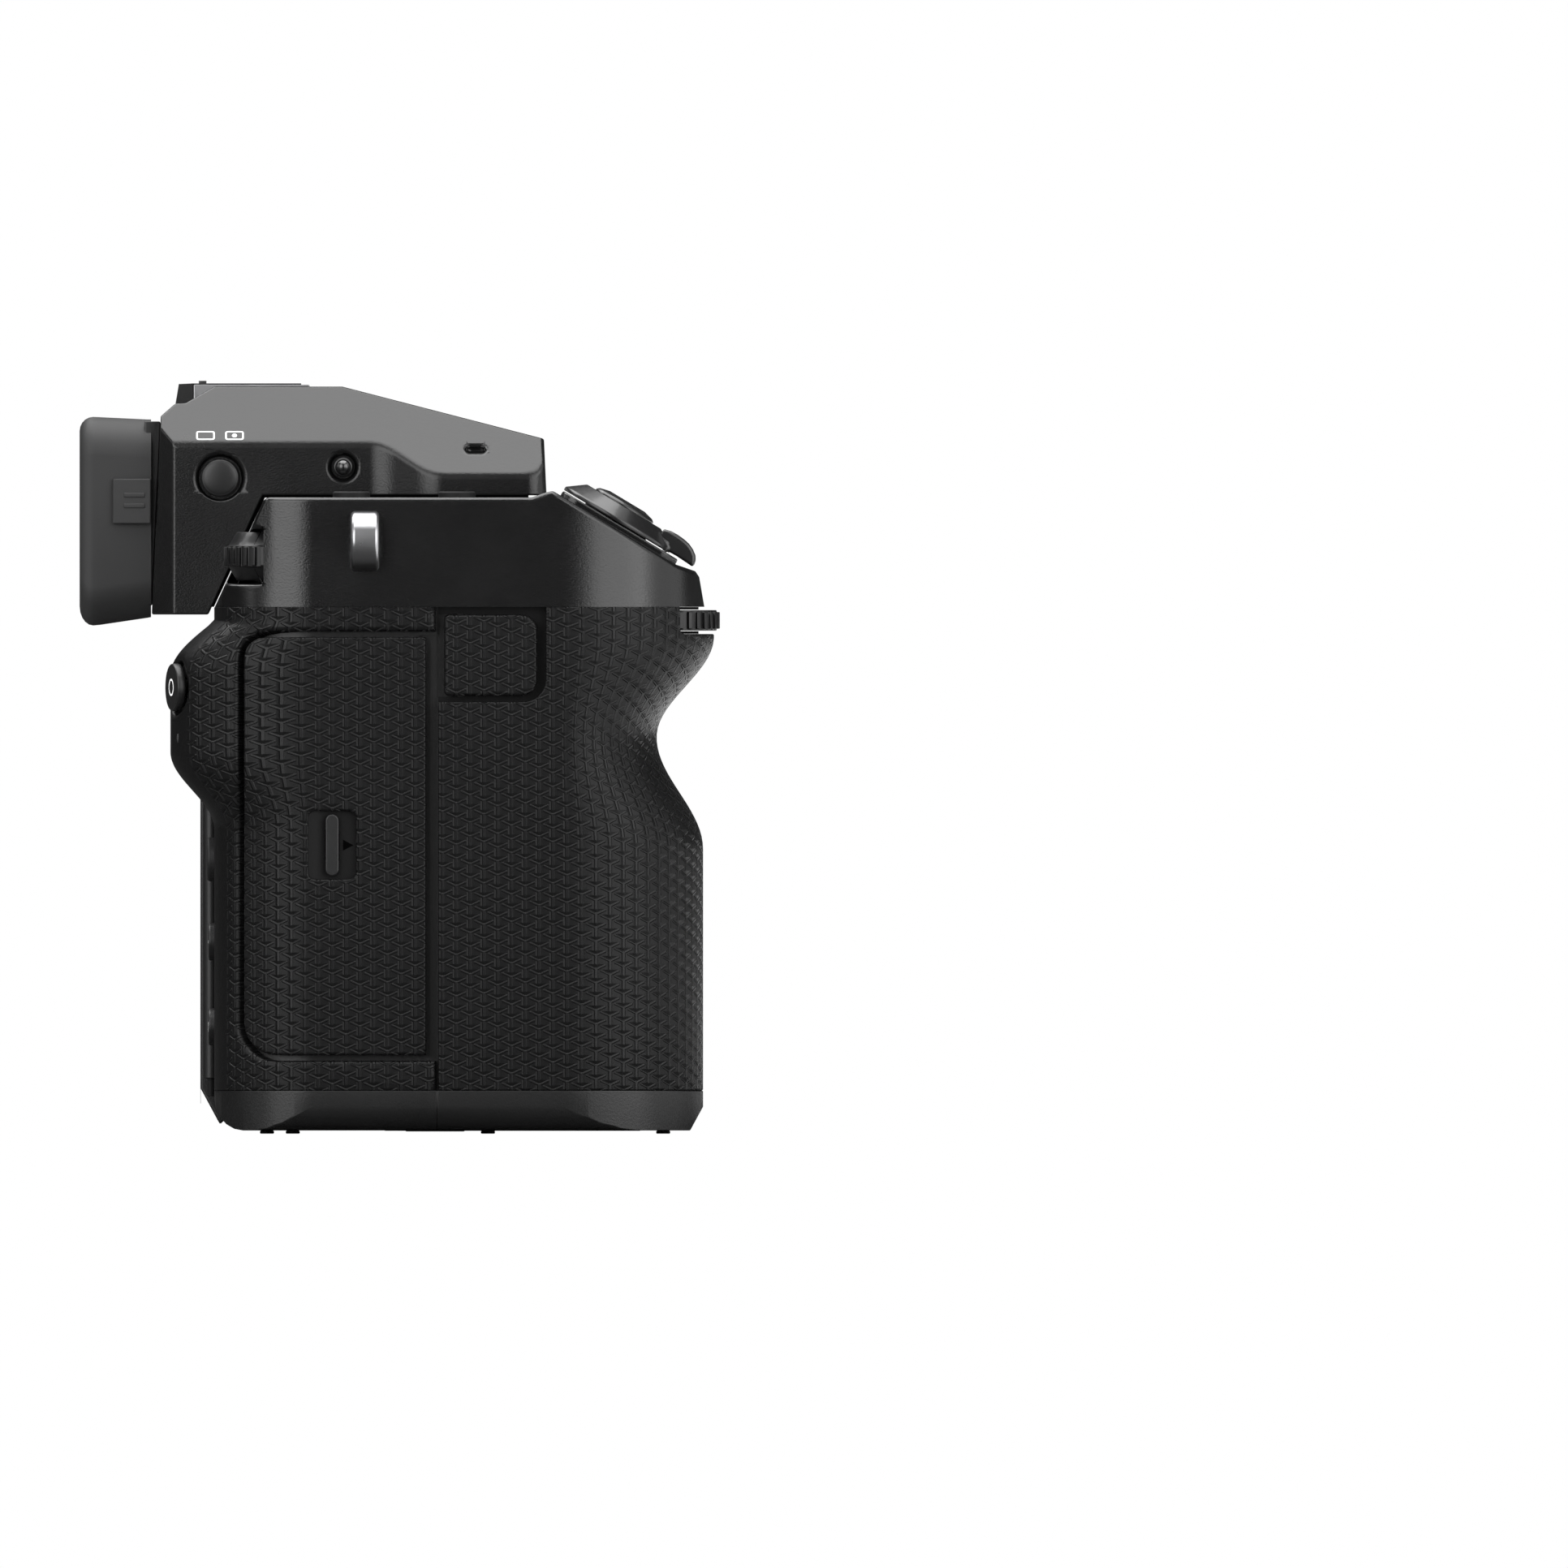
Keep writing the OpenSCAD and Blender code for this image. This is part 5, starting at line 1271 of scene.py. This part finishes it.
@dataclass(frozen=True)
class Dressing:
    """How rigid nodes are dressed: their finish and the rounding of their edges."""

    nodes: str
    finish: Finish
    width: float = 0.2
    segments: int = 2
    angle: float = 30.0
    where: Optional[Test] = None
    careful: bool = False
    rim: Optional[tuple[float, Test]] = None

    def build(self) -> None:
        """Rounds a copy of each node and gives it the finish."""
        for node in self.nodes.split():
            mesh = copy_node(node)
            if self.rim:
                round_edges(mesh, self.rim[0], 4, self.angle, self.rim[1])
            if self.width > 0:
                round_edges(mesh, self.width, self.segments, self.angle, self.where, self.careful)
            make_piece(node + "_dressed", mesh, self.finish, body_of(node), node)


ON = Stretches()
DRESSINGS = (
    Dressing("front_cover", PAINT, 0.15, where=ON.front),
    Dressing("rear_cover", PAINT, 0.15, where=ON.rear),
    Dressing("top_cover", TOP_PAINT, 0.3, 3, where=ON.deck, rim=(0.7, ON.deck_rim)),
    Dressing("grip_core", CORE, 0.0),
    Dressing("tripod_plate", STEEL, 0.15),
    Dressing("feet", SOFT_RUBBER, 0.15),
    Dressing("chassis", CAST, 0.2),
    Dressing("mount_ring", MOUNT_STEEL, 0.12),
    Dressing("mount_screws", STEEL, 0.06),
    Dressing("lens_lock_pin", STEEL, 0.25),
    Dressing("mount_contacts shutter_unit", SATIN, 0.1),
    Dressing("image_sensor", BOARD, 0.15),
    Dressing("main_board", BOARD, 0.1),
    Dressing("sensor_glass", FILTER, 0.1),
    Dressing("battery", CELL, 0.4),
    Dressing("battery_door", PAINT, 0.2),
    Dressing("battery_latch", GREY_PLASTIC, 0.15),
    Dressing("card_slots", SATIN, 0.2),
    Dressing("card_latch", SATIN, 0.25, 3),
    Dressing("connectors lcd_swing lcd_arm", SATIN, 0.15),
    Dressing("port_door_upper port_door_lower", PLAIN_RUBBER, 0.3, 3),
    Dressing("sub_monitor", MONITOR, 0.15),
    Dressing("shutter_button", GLOSS, 0.12, 2, 20),
    Dressing("power_lever", GLOSS, 0.15, 2, 20, rim=(0.5, ON.lever_edge)),
    Dressing("front_dial rear_dial diopter_dial", DIAL_METAL, 0.12),
    Dressing("mode_dial", DIAL_METAL, 0.15),
    Dressing("mode_lock eyepiece_frame", SATIN, 0.25),
    Dressing("fn_button_rear fn_button_front", DECK_BUTTON, 0.3, 3),
    Dressing("deck_button", DECK_BUTTON, 0.2),
    Dressing("lens_release q_button af_button play_button menu_button display_button", SATIN, 0.3, 3),
    Dressing("focus_stick", PLAIN_RUBBER, 0.4, 3),
    Dressing("lcd_screen view_button", SATIN, 0.35, 3),
    Dressing("evf_rail", RAIL_METAL, 0.1),
    Dressing("evf_housing", EVF_PAINT, 0.3, 3, 25, rim=(0.8, ON.finder_crease)),
    Dressing("eyepiece_lens", LENS_GLASS, 0.1),
    Dressing("evf_panel", SCREEN, 0.1),
    Dressing("evf_release", GLOSS, 0.3, 3),
    Dressing("hot_shoe", RAIL_METAL, 0.15),
    Dressing("shoe_cover", SATIN, 0.15, careful=True),
)


@dataclass
class Eyecup:
    """Moulded rubber eyecup with its pull tabs."""

    wall: float = 3.6
    corner: float = 6.0
    rim_depth: float = 2.1
    rim_round: Corner = (1.6, 3.0, 2.2)
    side_room: float = 0.5
    sag: float = 0.4
    lap: float = 1.0
    tab_at: Place = (3.0, 98.2)
    tab_size: Corner = (2.1, 5.9, 7.0)
    rib_at: Place = (2.6, 0.35)
    rib_heights: Place = (99.15, 97.5)
    rib_size: Corner = (0.5, 3.4, 0.8)

    def build(self) -> None:
        """Lofts the cup along the optical axis and seats its tabs."""
        low, high, centre = box_mm("eyecup")
        middle, half = centre.x, (high.x - low.x) / 2 - self.side_room
        base, top, front, rear = low.z - self.sag, high.z, low.y - self.lap, high.y
        insets = [(front, 0.8, 1.3, 0.4), (front + 0.5, 0.8, 1.2, 0.4), (rear - 3.2, 0.1, 0.1, 0.05)]
        for step in range(6):
            share = math.sin(step / 5 * QUARTER)
            drop = 1 - math.sqrt(max(0.0, 1 - share * share))
            insets.append((rear - self.rim_depth * (1 - share), *(inset * drop for inset in self.rim_round)))
        stations = [(y, half - side, base + under, top - over, self.corner)
                    for y, side, under, over in insets]
        pocket_low, pocket_high, _ = box_mm("eyepiece_lens")
        stations += [(rear - 0.05, half - self.wall, base + 3.7, top - 3.9, 5.0),
                     (rear - 0.9, half - self.wall - 0.5, base + 4.2, top - 4.2, 5.0),
                     (front, pocket_high.x - middle, pocket_low.z, pocket_high.z, 3.0)]
        mesh = bmesh.new()
        rings = []
        for y, wide, under, over, radius in stations:
            ring = rounded(middle - wide, under, middle + wide, over, radius, 8)
            rings.append(add_loop(mesh, [(x, y, z) for x, z in ring])[1])
        for first, second in zip(rings, rings[1:] + rings[:1]):
            bmesh.ops.bridge_loops(mesh, edges=first + second)
        bmesh.ops.recalc_face_normals(mesh, faces=mesh.faces[:])
        make_piece("eyecup_moulding", mesh, SOFT_RUBBER, "viewfinder", "eyecup")
        for side in Side:
            self._tab(side, middle + side.value * half, front)

    def _tab(self, side: Side, x: float, front: float) -> None:
        """Seats a pull tab with two finger ribs on one side.

        Args:
            side: Which side it sits on.
            x: The side face of the cup.
            front: The cup's front edge.
        """
        mesh = bmesh.new()
        (tab_y, tab_z), (rib_y, rib_out) = self.tab_at, self.rib_at
        plates = [((x - side.value * 0.6, front + tab_y, tab_z), self.tab_size)]
        plates += [((x + side.value * rib_out, front + rib_y, z), self.rib_size) for z in self.rib_heights]
        for place, size in plates:
            bmesh.ops.create_cube(mesh, size=1.0, matrix=stretched(place, size))
        round_edges(mesh, 0.22, 3)
        make_piece("eyecup_tab_" + side.name.lower(), mesh, SOFT_RUBBER, "viewfinder")


@dataclass
class StrapLugs:
    """Polished half rings that carry the strap, each on its base plate."""

    outer: float = 4.7
    inner: float = 2.1
    width: float = 4.4
    inset: float = 0.35
    base: Corner = (0.9, 3.6, 8.2)

    def build(self) -> None:
        """Bends a rounded bar into each half ring."""
        _, high, middle = box_mm("strap_lugs")
        side_x = high.x - self.outer - self.inset
        half, across, out = self.width / 2, (self.outer - self.inner) / 2, (self.outer + self.inner) / 2
        section = rounded(-half, -across, half, across, 0.7, 5)
        mesh = bmesh.new()
        for side in Side:
            centre = Vector((side.value * side_x, middle.y, middle.z))
            verts, edges = add_loop(mesh, [centre + Vector((0, y, -out - r)) for y, r in section])
            bmesh.ops.spin(mesh, geom=verts + edges, cent=centre, axis=(0, -side.value, 0), angle=math.pi,
                           steps=40)
            cube = bmesh.ops.create_cube(mesh, size=1.0, matrix=stretched(centre, self.base))["verts"]
            rims = [edge for edge in mesh.edges if edge.verts[0] in cube and edge.verts[1] in cube]
            bevel(mesh, rims, 0.4, careful=True)
        bmesh.ops.recalc_face_normals(mesh, faces=mesh.faces[:])
        make_piece("strap_lugs_polished", mesh, CHROME, "camera_body", "strap_lugs")


@dataclass(frozen=True)
class Facet:
    """A flat place on the body that small inlays and printed marks lie on."""

    origin: Vector
    right: Vector
    up: Vector
    proud: float = 0.03

    def point(self, s: float, t: float) -> Vector:
        """The point at s to the right and t up, just proud of the surface."""
        return self.origin + self.right * s + self.up * t + self.right.cross(self.up) * self.proud


@dataclass
class Marks:
    """Plain printed marks, small inlays and lamps."""

    hand: HandSide
    ink: float = 0.05
    well_half: Place = (5.5, 3.9)
    well_floor: Place = (1.15, 0.3)
    well_bend: float = 0.6
    arrow: Corner = (1.7, 3.3, 0.85)
    quick_ring: Place = (1.35, 1.05)
    quick_well: Corner = (4.7, 1.6, 0.5)
    quick_depths: Place = (-0.3, 2.5)
    lamp_share: float = 0.79
    lamp_z: float = 61.4
    lamp_size: Corner = (0.35, 0.22, 0.75)
    facet_slope: float = 0.966
    crease: Place = (4.7, 107.2)
    sign: Corner = (2.9, 1.9, 0.26)
    signs_x: Place = (-3.7, 0.8)
    deck_back: float = 20.9
    deck_slope: Place = (7.9, 17.0)
    deck_tilt: float = math.radians(31)
    seat_x: float = -16.0
    seat_width: float = 48.0
    collar_seat: Corner = (-52.014, -33.0, 94.27)
    collar_plate_size: Corner = (9.6, -11.4, 9.4)
    collar_proud: float = 0.85
    collar_thick: float = 1.4
    collar_round: float = 3.0
    collar_bore: float = 6.0
    collar_rim: float = 0.3
    washer: float = 5.7
    washer_thick: float = 0.4
    washer_above: float = 0.48
    washer_below: float = 0.08
    skin_edge: Place = (0.9, 0.6)
    skin_round: float = 1.2
    skin_thick: float = 0.3
    skin_proud: float = 0.25
    skin_rim: float = 0.15
    index_radius: float = 1.1
    index_below: float = 2.4
    number_size: float = 2.6
    number_ring: float = 7.8
    speeds: tuple[str, ...] = ("1", "2", "4", "8", "15", "30", "60", "125", "250", "500")

    def build(self) -> None:
        """Lays every mark."""
        for lay in (self.latch_well, self.quick_button, self.access_lamp, self.finder_sign,
                    self.finder_seat, self.finder_caps, self.collar_plate, self.dial_washers,
                    self.screen_glass, self.door_skins, self.rear_signs, self.dial_numbers,
                    self.mount_index):
            lay()

    def print_on(self, name: str, facet: Facet, outline: Sequence[Place], body: str,
                 holes: Sequence[Sequence[Place]] = (), finish: Finish = INK) -> None:
        """Prints a flat mark with holes on a facet."""
        Sheet(outline, holes, self.ink).lay(name, facet.point, finish, body)

    def latch_well(self) -> None:
        """Scooped floor of the latch recess, with its arrow."""
        middle = box_mm("card_latch")[2]
        middle.x = box_mm("grip_cover")[0].x
        deep, shallow = self.well_floor
        mesh = bmesh.new()
        place = Matrix.Translation(middle) @ Matrix.Rotation(-QUARTER, 4, "Y")
        bmesh.ops.create_grid(mesh, x_segments=1, y_segments=14, size=1.0,
                              matrix=place @ Matrix.Diagonal((*self.well_half, 1.0, 1.0)))
        for vert in mesh.verts:
            vert.co.x += mix(deep, shallow, ease(vert.co.y - middle.y, self.well_bend, self.well_half[1]))
        bmesh.ops.solidify(mesh, geom=mesh.faces[:], thickness=0.35)
        bmesh.ops.recalc_face_normals(mesh, faces=mesh.faces[:])
        make_piece("card_latch_well", mesh, LATCH_FLOOR, "card_door_body")
        tail, tip, half = self.arrow
        arrow = [(tail, -half), (tip, 0.0), (tail, half)]
        facet = Facet(middle + RIGHT * deep, -BACK, UP)
        # the arrow is printed in painted shade, flat on the well floor
        self.print_on("card_latch_arrow", facet, arrow, "card_door_body", finish=PIT_SHADE)

    def _quick_facet(self, depth: float) -> Facet:
        """Finds the turned face of the thumb button.

        Args:
            depth: How far below its surface the facet lies.

        Returns:
            The facet.
        """
        hand, turn = self.hand, math.radians(self.hand.quick_turn)
        deep = hand.rear_round + hand.thumb_rise
        out = Vector((-math.cos(turn) * deep, math.sin(turn) * hand.rear_round, 0)).normalized()
        place = bent(hand.corner, (-hand.rear_round, deep), turn, box_mm("q_button")[2].z)
        return Facet(place - out * depth, out.cross(UP), UP)

    def quick_button(self) -> None:
        """Ring printed on the thumb button and the floor of its well."""
        face, floor = (self._quick_facet(depth) for depth in self.quick_depths)
        outer, inner = (circle(radius) for radius in self.quick_ring)
        self.print_on("thumb_button_ring", face, outer, body_of("q_button"), [inner])
        radius, bore, thickness = self.quick_well
        well = Sheet(circle(radius), [circle(bore)], thickness)
        well.lay("thumb_button_well", floor.point, PLAIN_RUBBER, "camera_body")

    def access_lamp(self) -> None:
        """Small lamp under the thumb button."""
        place = self.hand.point(self.hand.corner_s(self.lamp_share), self.lamp_z)
        mesh = bmesh.new()
        bmesh.ops.create_uvsphere(mesh, u_segments=24, v_segments=12, radius=1.0,
                                  matrix=stretched(place, self.lamp_size))
        make_piece("access_lamp", mesh, SOFT_RUBBER, "camera_body")

    def finder_sign(self) -> None:
        """Screen and eyepiece signs above the finder's view button."""
        up = Vector((self.facet_slope, 0, 1)).normalized()
        inset, height = self.crease
        crease = Vector((box_mm("evf_housing")[0].x + inset, box_mm("view_button")[2].y, height))
        facet = Facet(crease + up * 0.7, -BACK, up)
        wide, tall, line = self.sign
        for index, x in enumerate(self.signs_x):
            outer = rounded(x, 0, x + wide, tall, 0.4, 3)
            inner = rounded(x + line, line, x + wide - line, tall - line, 0.2, 3)
            self.print_on("finder_sign_%d" % index, facet, outer, "viewfinder", [inner])
        eye = circle(0.4, 20, self.signs_x[1] + wide / 2, tall / 2)
        self.print_on("finder_sign_eye", facet, eye, "viewfinder")

    def finder_seat(self) -> None:
        """Dark seat under the finder that closes the slit above the deck."""
        deck = box_mm("sub_monitor")[1].z + 0.1
        facet = Facet(Vector((self.seat_x, self.deck_back, deck)), -BACK, UP)
        (run, drop), front = self.deck_slope, self.deck_back + 20.0
        profile = [(front, -0.07), (front, 0.6), (-0.7, 0.6), (-run - 1.2, -drop), (-run - 0.03, -drop),
                   (-0.03, -0.07)]
        Sheet(profile, (), self.seat_width).lay("finder_seat", facet.point, WELL, "viewfinder")

    def finder_caps(self) -> None:
        """Domed cap of the view button and the polished ball of the release."""
        for node, rise, finish in (("view_button", 0.4, SATIN), ("evf_release", 1.3, BALL)):
            low, high, middle = box_mm(node)
            radius = (high.y - low.y) / 2 - 0.25
            dome = stretched((low.x + 0.1, middle.y, middle.z), (rise, radius, radius))
            mesh = bmesh.new()
            bmesh.ops.create_uvsphere(mesh, u_segments=48, v_segments=32, radius=1.0,
                                      matrix=dome @ Matrix.Rotation(QUARTER, 4, "Y"))
            cut = bmesh.ops.bisect_plane(mesh, geom=all_of(mesh), dist=WELD, plane_co=(low.x + 0.15, 0, 0),
                                         plane_no=RIGHT, clear_outer=True)["geom_cut"]
            bmesh.ops.edgenet_fill(mesh, edges=[part for part in cut if isinstance(part, bmesh.types.BMEdge)])
            make_piece(node + "_cap", mesh, finish, body_of(node))

    def collar_plate(self) -> None:
        """Plate under the power collar, let into the sloping deck."""
        slope = Vector((0, math.cos(self.deck_tilt), math.sin(self.deck_tilt)))
        facet = Facet(Vector(self.collar_seat), RIGHT, slope, self.collar_proud)
        wide, low, high = self.collar_plate_size
        outline = rounded(-wide, low, wide, high, self.collar_round)
        sheet = Sheet(outline, [circle(self.collar_bore)], self.collar_thick, ((self.collar_rim, None),))
        sheet.lay("collar_plate", facet.point, TOP_PAINT, "camera_body")

    def dial_washers(self) -> None:
        """Dark washers above and below the front dial."""
        low, high, middle = box_mm("front_dial")
        for name, z in (("upper", high.z + self.washer_above), ("lower", low.z - self.washer_below)):
            facet = Facet(Vector((middle.x, middle.y, z)), RIGHT, BACK, proud=0.0)
            washer = Sheet(circle(self.washer, 48), (), self.washer_thick)
            washer.lay("dial_washer_" + name, facet.point, WELL, "camera_body")

    def _rear_facet(self, node: str, proud: float = 0.0) -> Facet:
        """The rear face of a node, or a plane some way behind it."""
        _, high, middle = box_mm(node)
        return Facet(Vector((middle.x, high.y + proud, middle.z)), -RIGHT, UP)

    def screen_glass(self) -> None:
        """Cover glass of the rear screen and its picture area."""
        for name, wide, tall, proud, finish in (("lcd_cover_glass", 37.6, 28.0, 0.0, SCREEN),
                                                ("lcd_picture_area", 34.2, 25.6, 0.02, PICTURE)):
            outline = rounded(-wide, -tall, wide, tall, 1.5)
            facet = self._rear_facet("lcd_screen", proud)
            self.print_on(name, facet, outline, body_of("lcd_screen"), finish=finish)

    def door_skins(self) -> None:
        """Patterned faces of the two port doors."""
        for node in ("port_door_upper", "port_door_lower"):
            low, high, _ = box_mm(node)
            facet = Facet(Vector((high.x, low.y, low.z)), BACK, UP, self.skin_proud)
            hinge, edge = self.skin_edge
            outline = rounded(hinge, edge, high.y - low.y - edge, high.z - low.z - edge, self.skin_round)
            sheet = Sheet(outline, (), self.skin_thick, ((self.skin_rim, None),))
            sheet.lay(node + "_skin", facet.point, PORT_SKIN, body_of(node))

    def rear_signs(self) -> None:
        """Signs on the faces of the rear buttons."""
        shapes = {"play_button": [(-0.9, -1.1), (1.2, 0.0), (-0.9, 1.1)],
                  "menu_button": [(-1.2, -0.25), (1.2, -0.25), (1.2, 0.25), (-1.2, 0.25)],
                  "af_button": [(-1.1, -1.1), (1.1, -1.1), (1.1, 1.1), (-1.1, 1.1)],
                  "display_button": circle(0.8, 24)}
        for node, outline in shapes.items():
            hollow = node in ("af_button", "display_button")
            holes = [[(x * 0.7, y * 0.7) for x, y in outline]] if hollow else ()
            self.print_on(node + "_sign", self._rear_facet(node), outline, body_of(node), holes)

    def dial_numbers(self) -> None:
        """Plain shutter speeds round the top of the speed dial."""
        _, high, middle = box_mm("mode_dial")
        for index, text in enumerate(self.speeds):
            curve = bpy.data.curves.new("speed_" + text, "FONT")
            curve.body = text
            curve.size = self.number_size
            curve.align_x, curve.align_y = "CENTER", "CENTER"
            holder = bpy.data.objects.new("speed_" + text, curve)
            mesh = bmesh.new()
            mesh.from_mesh(holder.to_mesh())
            holder.to_mesh_clear()
            bpy.data.objects.remove(holder)
            bpy.data.curves.remove(curve)
            bmesh.ops.remove_doubles(mesh, verts=mesh.verts, dist=WELD)
            bmesh.ops.transform(mesh, verts=mesh.verts, matrix=(
                Matrix.Translation((middle.x, middle.y, high.z + 0.03))
                @ Matrix.Rotation(-2 * math.pi * index / len(self.speeds), 4, "Z")
                @ Matrix.Translation((0, self.number_ring, 0))))
            make_piece("dial_number_" + text, mesh, INK, body_of("mode_dial"))

    def mount_index(self) -> None:
        """Round index mark on the lens mount."""
        low, high, middle = box_mm("mount_ring")
        facet = Facet(Vector((middle.x, low.y, high.z - self.index_below)), RIGHT, UP)
        self.print_on("mount_index", facet, circle(self.index_radius, 24), "camera_body", finish=INDEX_RED)


@dataclass
class Studio:
    """Camera, lights, floor and backdrop, in metres but for the frame."""

    frame_width: float = 243.43
    frame_y: float = -59.66
    frame_z: float = 54.3
    distance: float = 500.0
    light_level: float = 0.45
    aim: Colour = (0.0, 0.0, 0.055)
    floor_radius: float = 2.5
    fade: Place = (0.35, 0.85)
    lamps: tuple[tuple[str, Colour, Place, float], ...] = (
        ("front_strip", (-0.64, -0.56, 0.25), (0.72, 0.9), 5.4),
        ("rear_strip", (-0.73, 0.455, 0.25), (0.64, 0.9), 5.5),
        ("port_strip", (0.7, 0.25, 0.95), (0.5, 0.45), 2.2),
        ("rear_fill", (-0.22, 0.95, 0.3), (0.35, 0.9), 1.2),
        ("back_strip", (0.35, 0.7, 0.9), (0.5, 0.45), 3.0),
        ("top_box", (-0.05, 0.0, 0.9), (0.9, 0.9), 9.0))
    cards: tuple[tuple[str, Colour, Place, Place], ...] = (
        ("grip_card", (-1.0, 0.0, 0.5), (90.0, 0.0), (1.6, 2.6)),
        ("port_card", (1.0, 0.0, 0.5), (90.0, 0.0), (1.6, 2.0)),
        ("rear_card", (0.0, 1.0, 0.5), (90.0, 90.0), (1.6, 2.0)),
        ("front_card", (0.62, -0.8, 0.5), (90.0, -52.0), (1.6, 0.9)),
        ("floor_card", (0.0, 0.55, 0.0004), (0.0, 0.0), (2.0, 1.3)))

    def build(self) -> None:
        """Sets up the whole studio."""
        for step in (self._camera, self._world, self._floor, self._lamps, self._cards):
            step()
        bpy.context.scene.view_settings.view_transform = "Standard"

    def _camera(self) -> None:
        """Looks square on to the grip side, without perspective."""
        data = bpy.data.cameras.new("view_camera")
        data.type = "ORTHO"
        data.ortho_scale = self.frame_width * MM
        data.clip_start, data.clip_end = 0.01, 20.0
        camera = link("view_camera", data)
        camera.location = (-self.distance * MM, self.frame_y * MM, self.frame_z * MM)
        camera.rotation_euler = (QUARTER, 0.0, -QUARTER)
        bpy.context.scene.camera = camera

    def _world(self) -> None:
        """White to the eye and in reflections, softer as a light."""
        world = bpy.data.worlds.new("studio_world")
        world.use_nodes = True
        bpy.context.scene.world = world
        wires = Wiring(world.node_tree)
        world.node_tree.nodes.clear()
        light, white = (wires.add("Background", {"Color": (1, 1, 1, 1), "Strength": strength}).outputs[0]
                        for strength in (self.light_level, 1.0))
        wires.add("OutputWorld", {"Surface": wires.blend(wires.shown(), light, white)})

    def _floor(self) -> None:
        """Pale floor that keeps the shadow and fades to white far out; nothing from below."""
        mesh = bmesh.new()
        bmesh.ops.create_circle(mesh, cap_ends=True, radius=self.floor_radius, segments=96)
        material, wires = principled("studio_floor", (0.86, 0.86, 0.86), 0.9, 0.1)
        nodes = wires.tree.nodes
        away = wires.add("VectorMath", {0: wires.here()}, operation="LENGTH").outputs[1]
        far = wires.calc("MULTIPLY", wires.step(away, *self.fade), wires.shown())
        white = wires.add("Emission", {"Color": (1, 1, 1, 1), "Strength": 1.0}).outputs[0]
        under = wires.add("NewGeometry").outputs["Backfacing"]
        clear = wires.add("BsdfTransparent").outputs[0]
        surface = wires.blend(under, wires.blend(far, nodes["Principled BSDF"].outputs[0], white), clear)
        wires.feed(nodes["Material Output"].inputs["Surface"], surface)
        floor = new_object("studio_floor", mesh, material)

    def _cards(self) -> None:
        """Hangs dark cards that only reflections see, so that flat black faces stay black."""
        material = principled("studio_card", (0.03, 0.03, 0.03), 0.9)[0]
        for name, place, (lean, turn), size in self.cards:
            mesh = bmesh.new()
            bmesh.ops.create_grid(mesh, x_segments=1, y_segments=1, size=0.5, matrix=(
                Matrix.Translation(place) @ Matrix.Rotation(math.radians(turn), 4, "Z")
                @ Matrix.Rotation(math.radians(lean), 4, "Y") @ Matrix.Diagonal((*size, 1.0, 1.0))))
            card = new_object(name, mesh, material)
            card.visible_camera = card.visible_diffuse = card.visible_shadow = False

    def _lamps(self) -> None:
        """Hangs soft boxes that point at the object, each with its place, size and power in watts."""
        for name, place, size, power in self.lamps:
            data = bpy.data.lights.new(name, "AREA")
            data.shape = "RECTANGLE"
            data.size, data.size_y = size
            data.energy = power
            lamp = link(name, data)
            lamp.location = place
            way = Vector(self.aim) - Vector(place)
            lamp.rotation_euler = way.to_track_quat("-Z", "Y").to_euler()
            lamp.visible_camera = False


def main() -> None:
    """Builds the studio, then every piece in order."""
    logging.basicConfig(level=logging.INFO, format="%(name)s: %(message)s")
    hand = HandSide()
    for group in (Studio(), Coverings(hand), Eyecup(), StrapLugs(), *DRESSINGS, Marks(hand)):
        group.build()


if __name__ == "__main__":
    main()
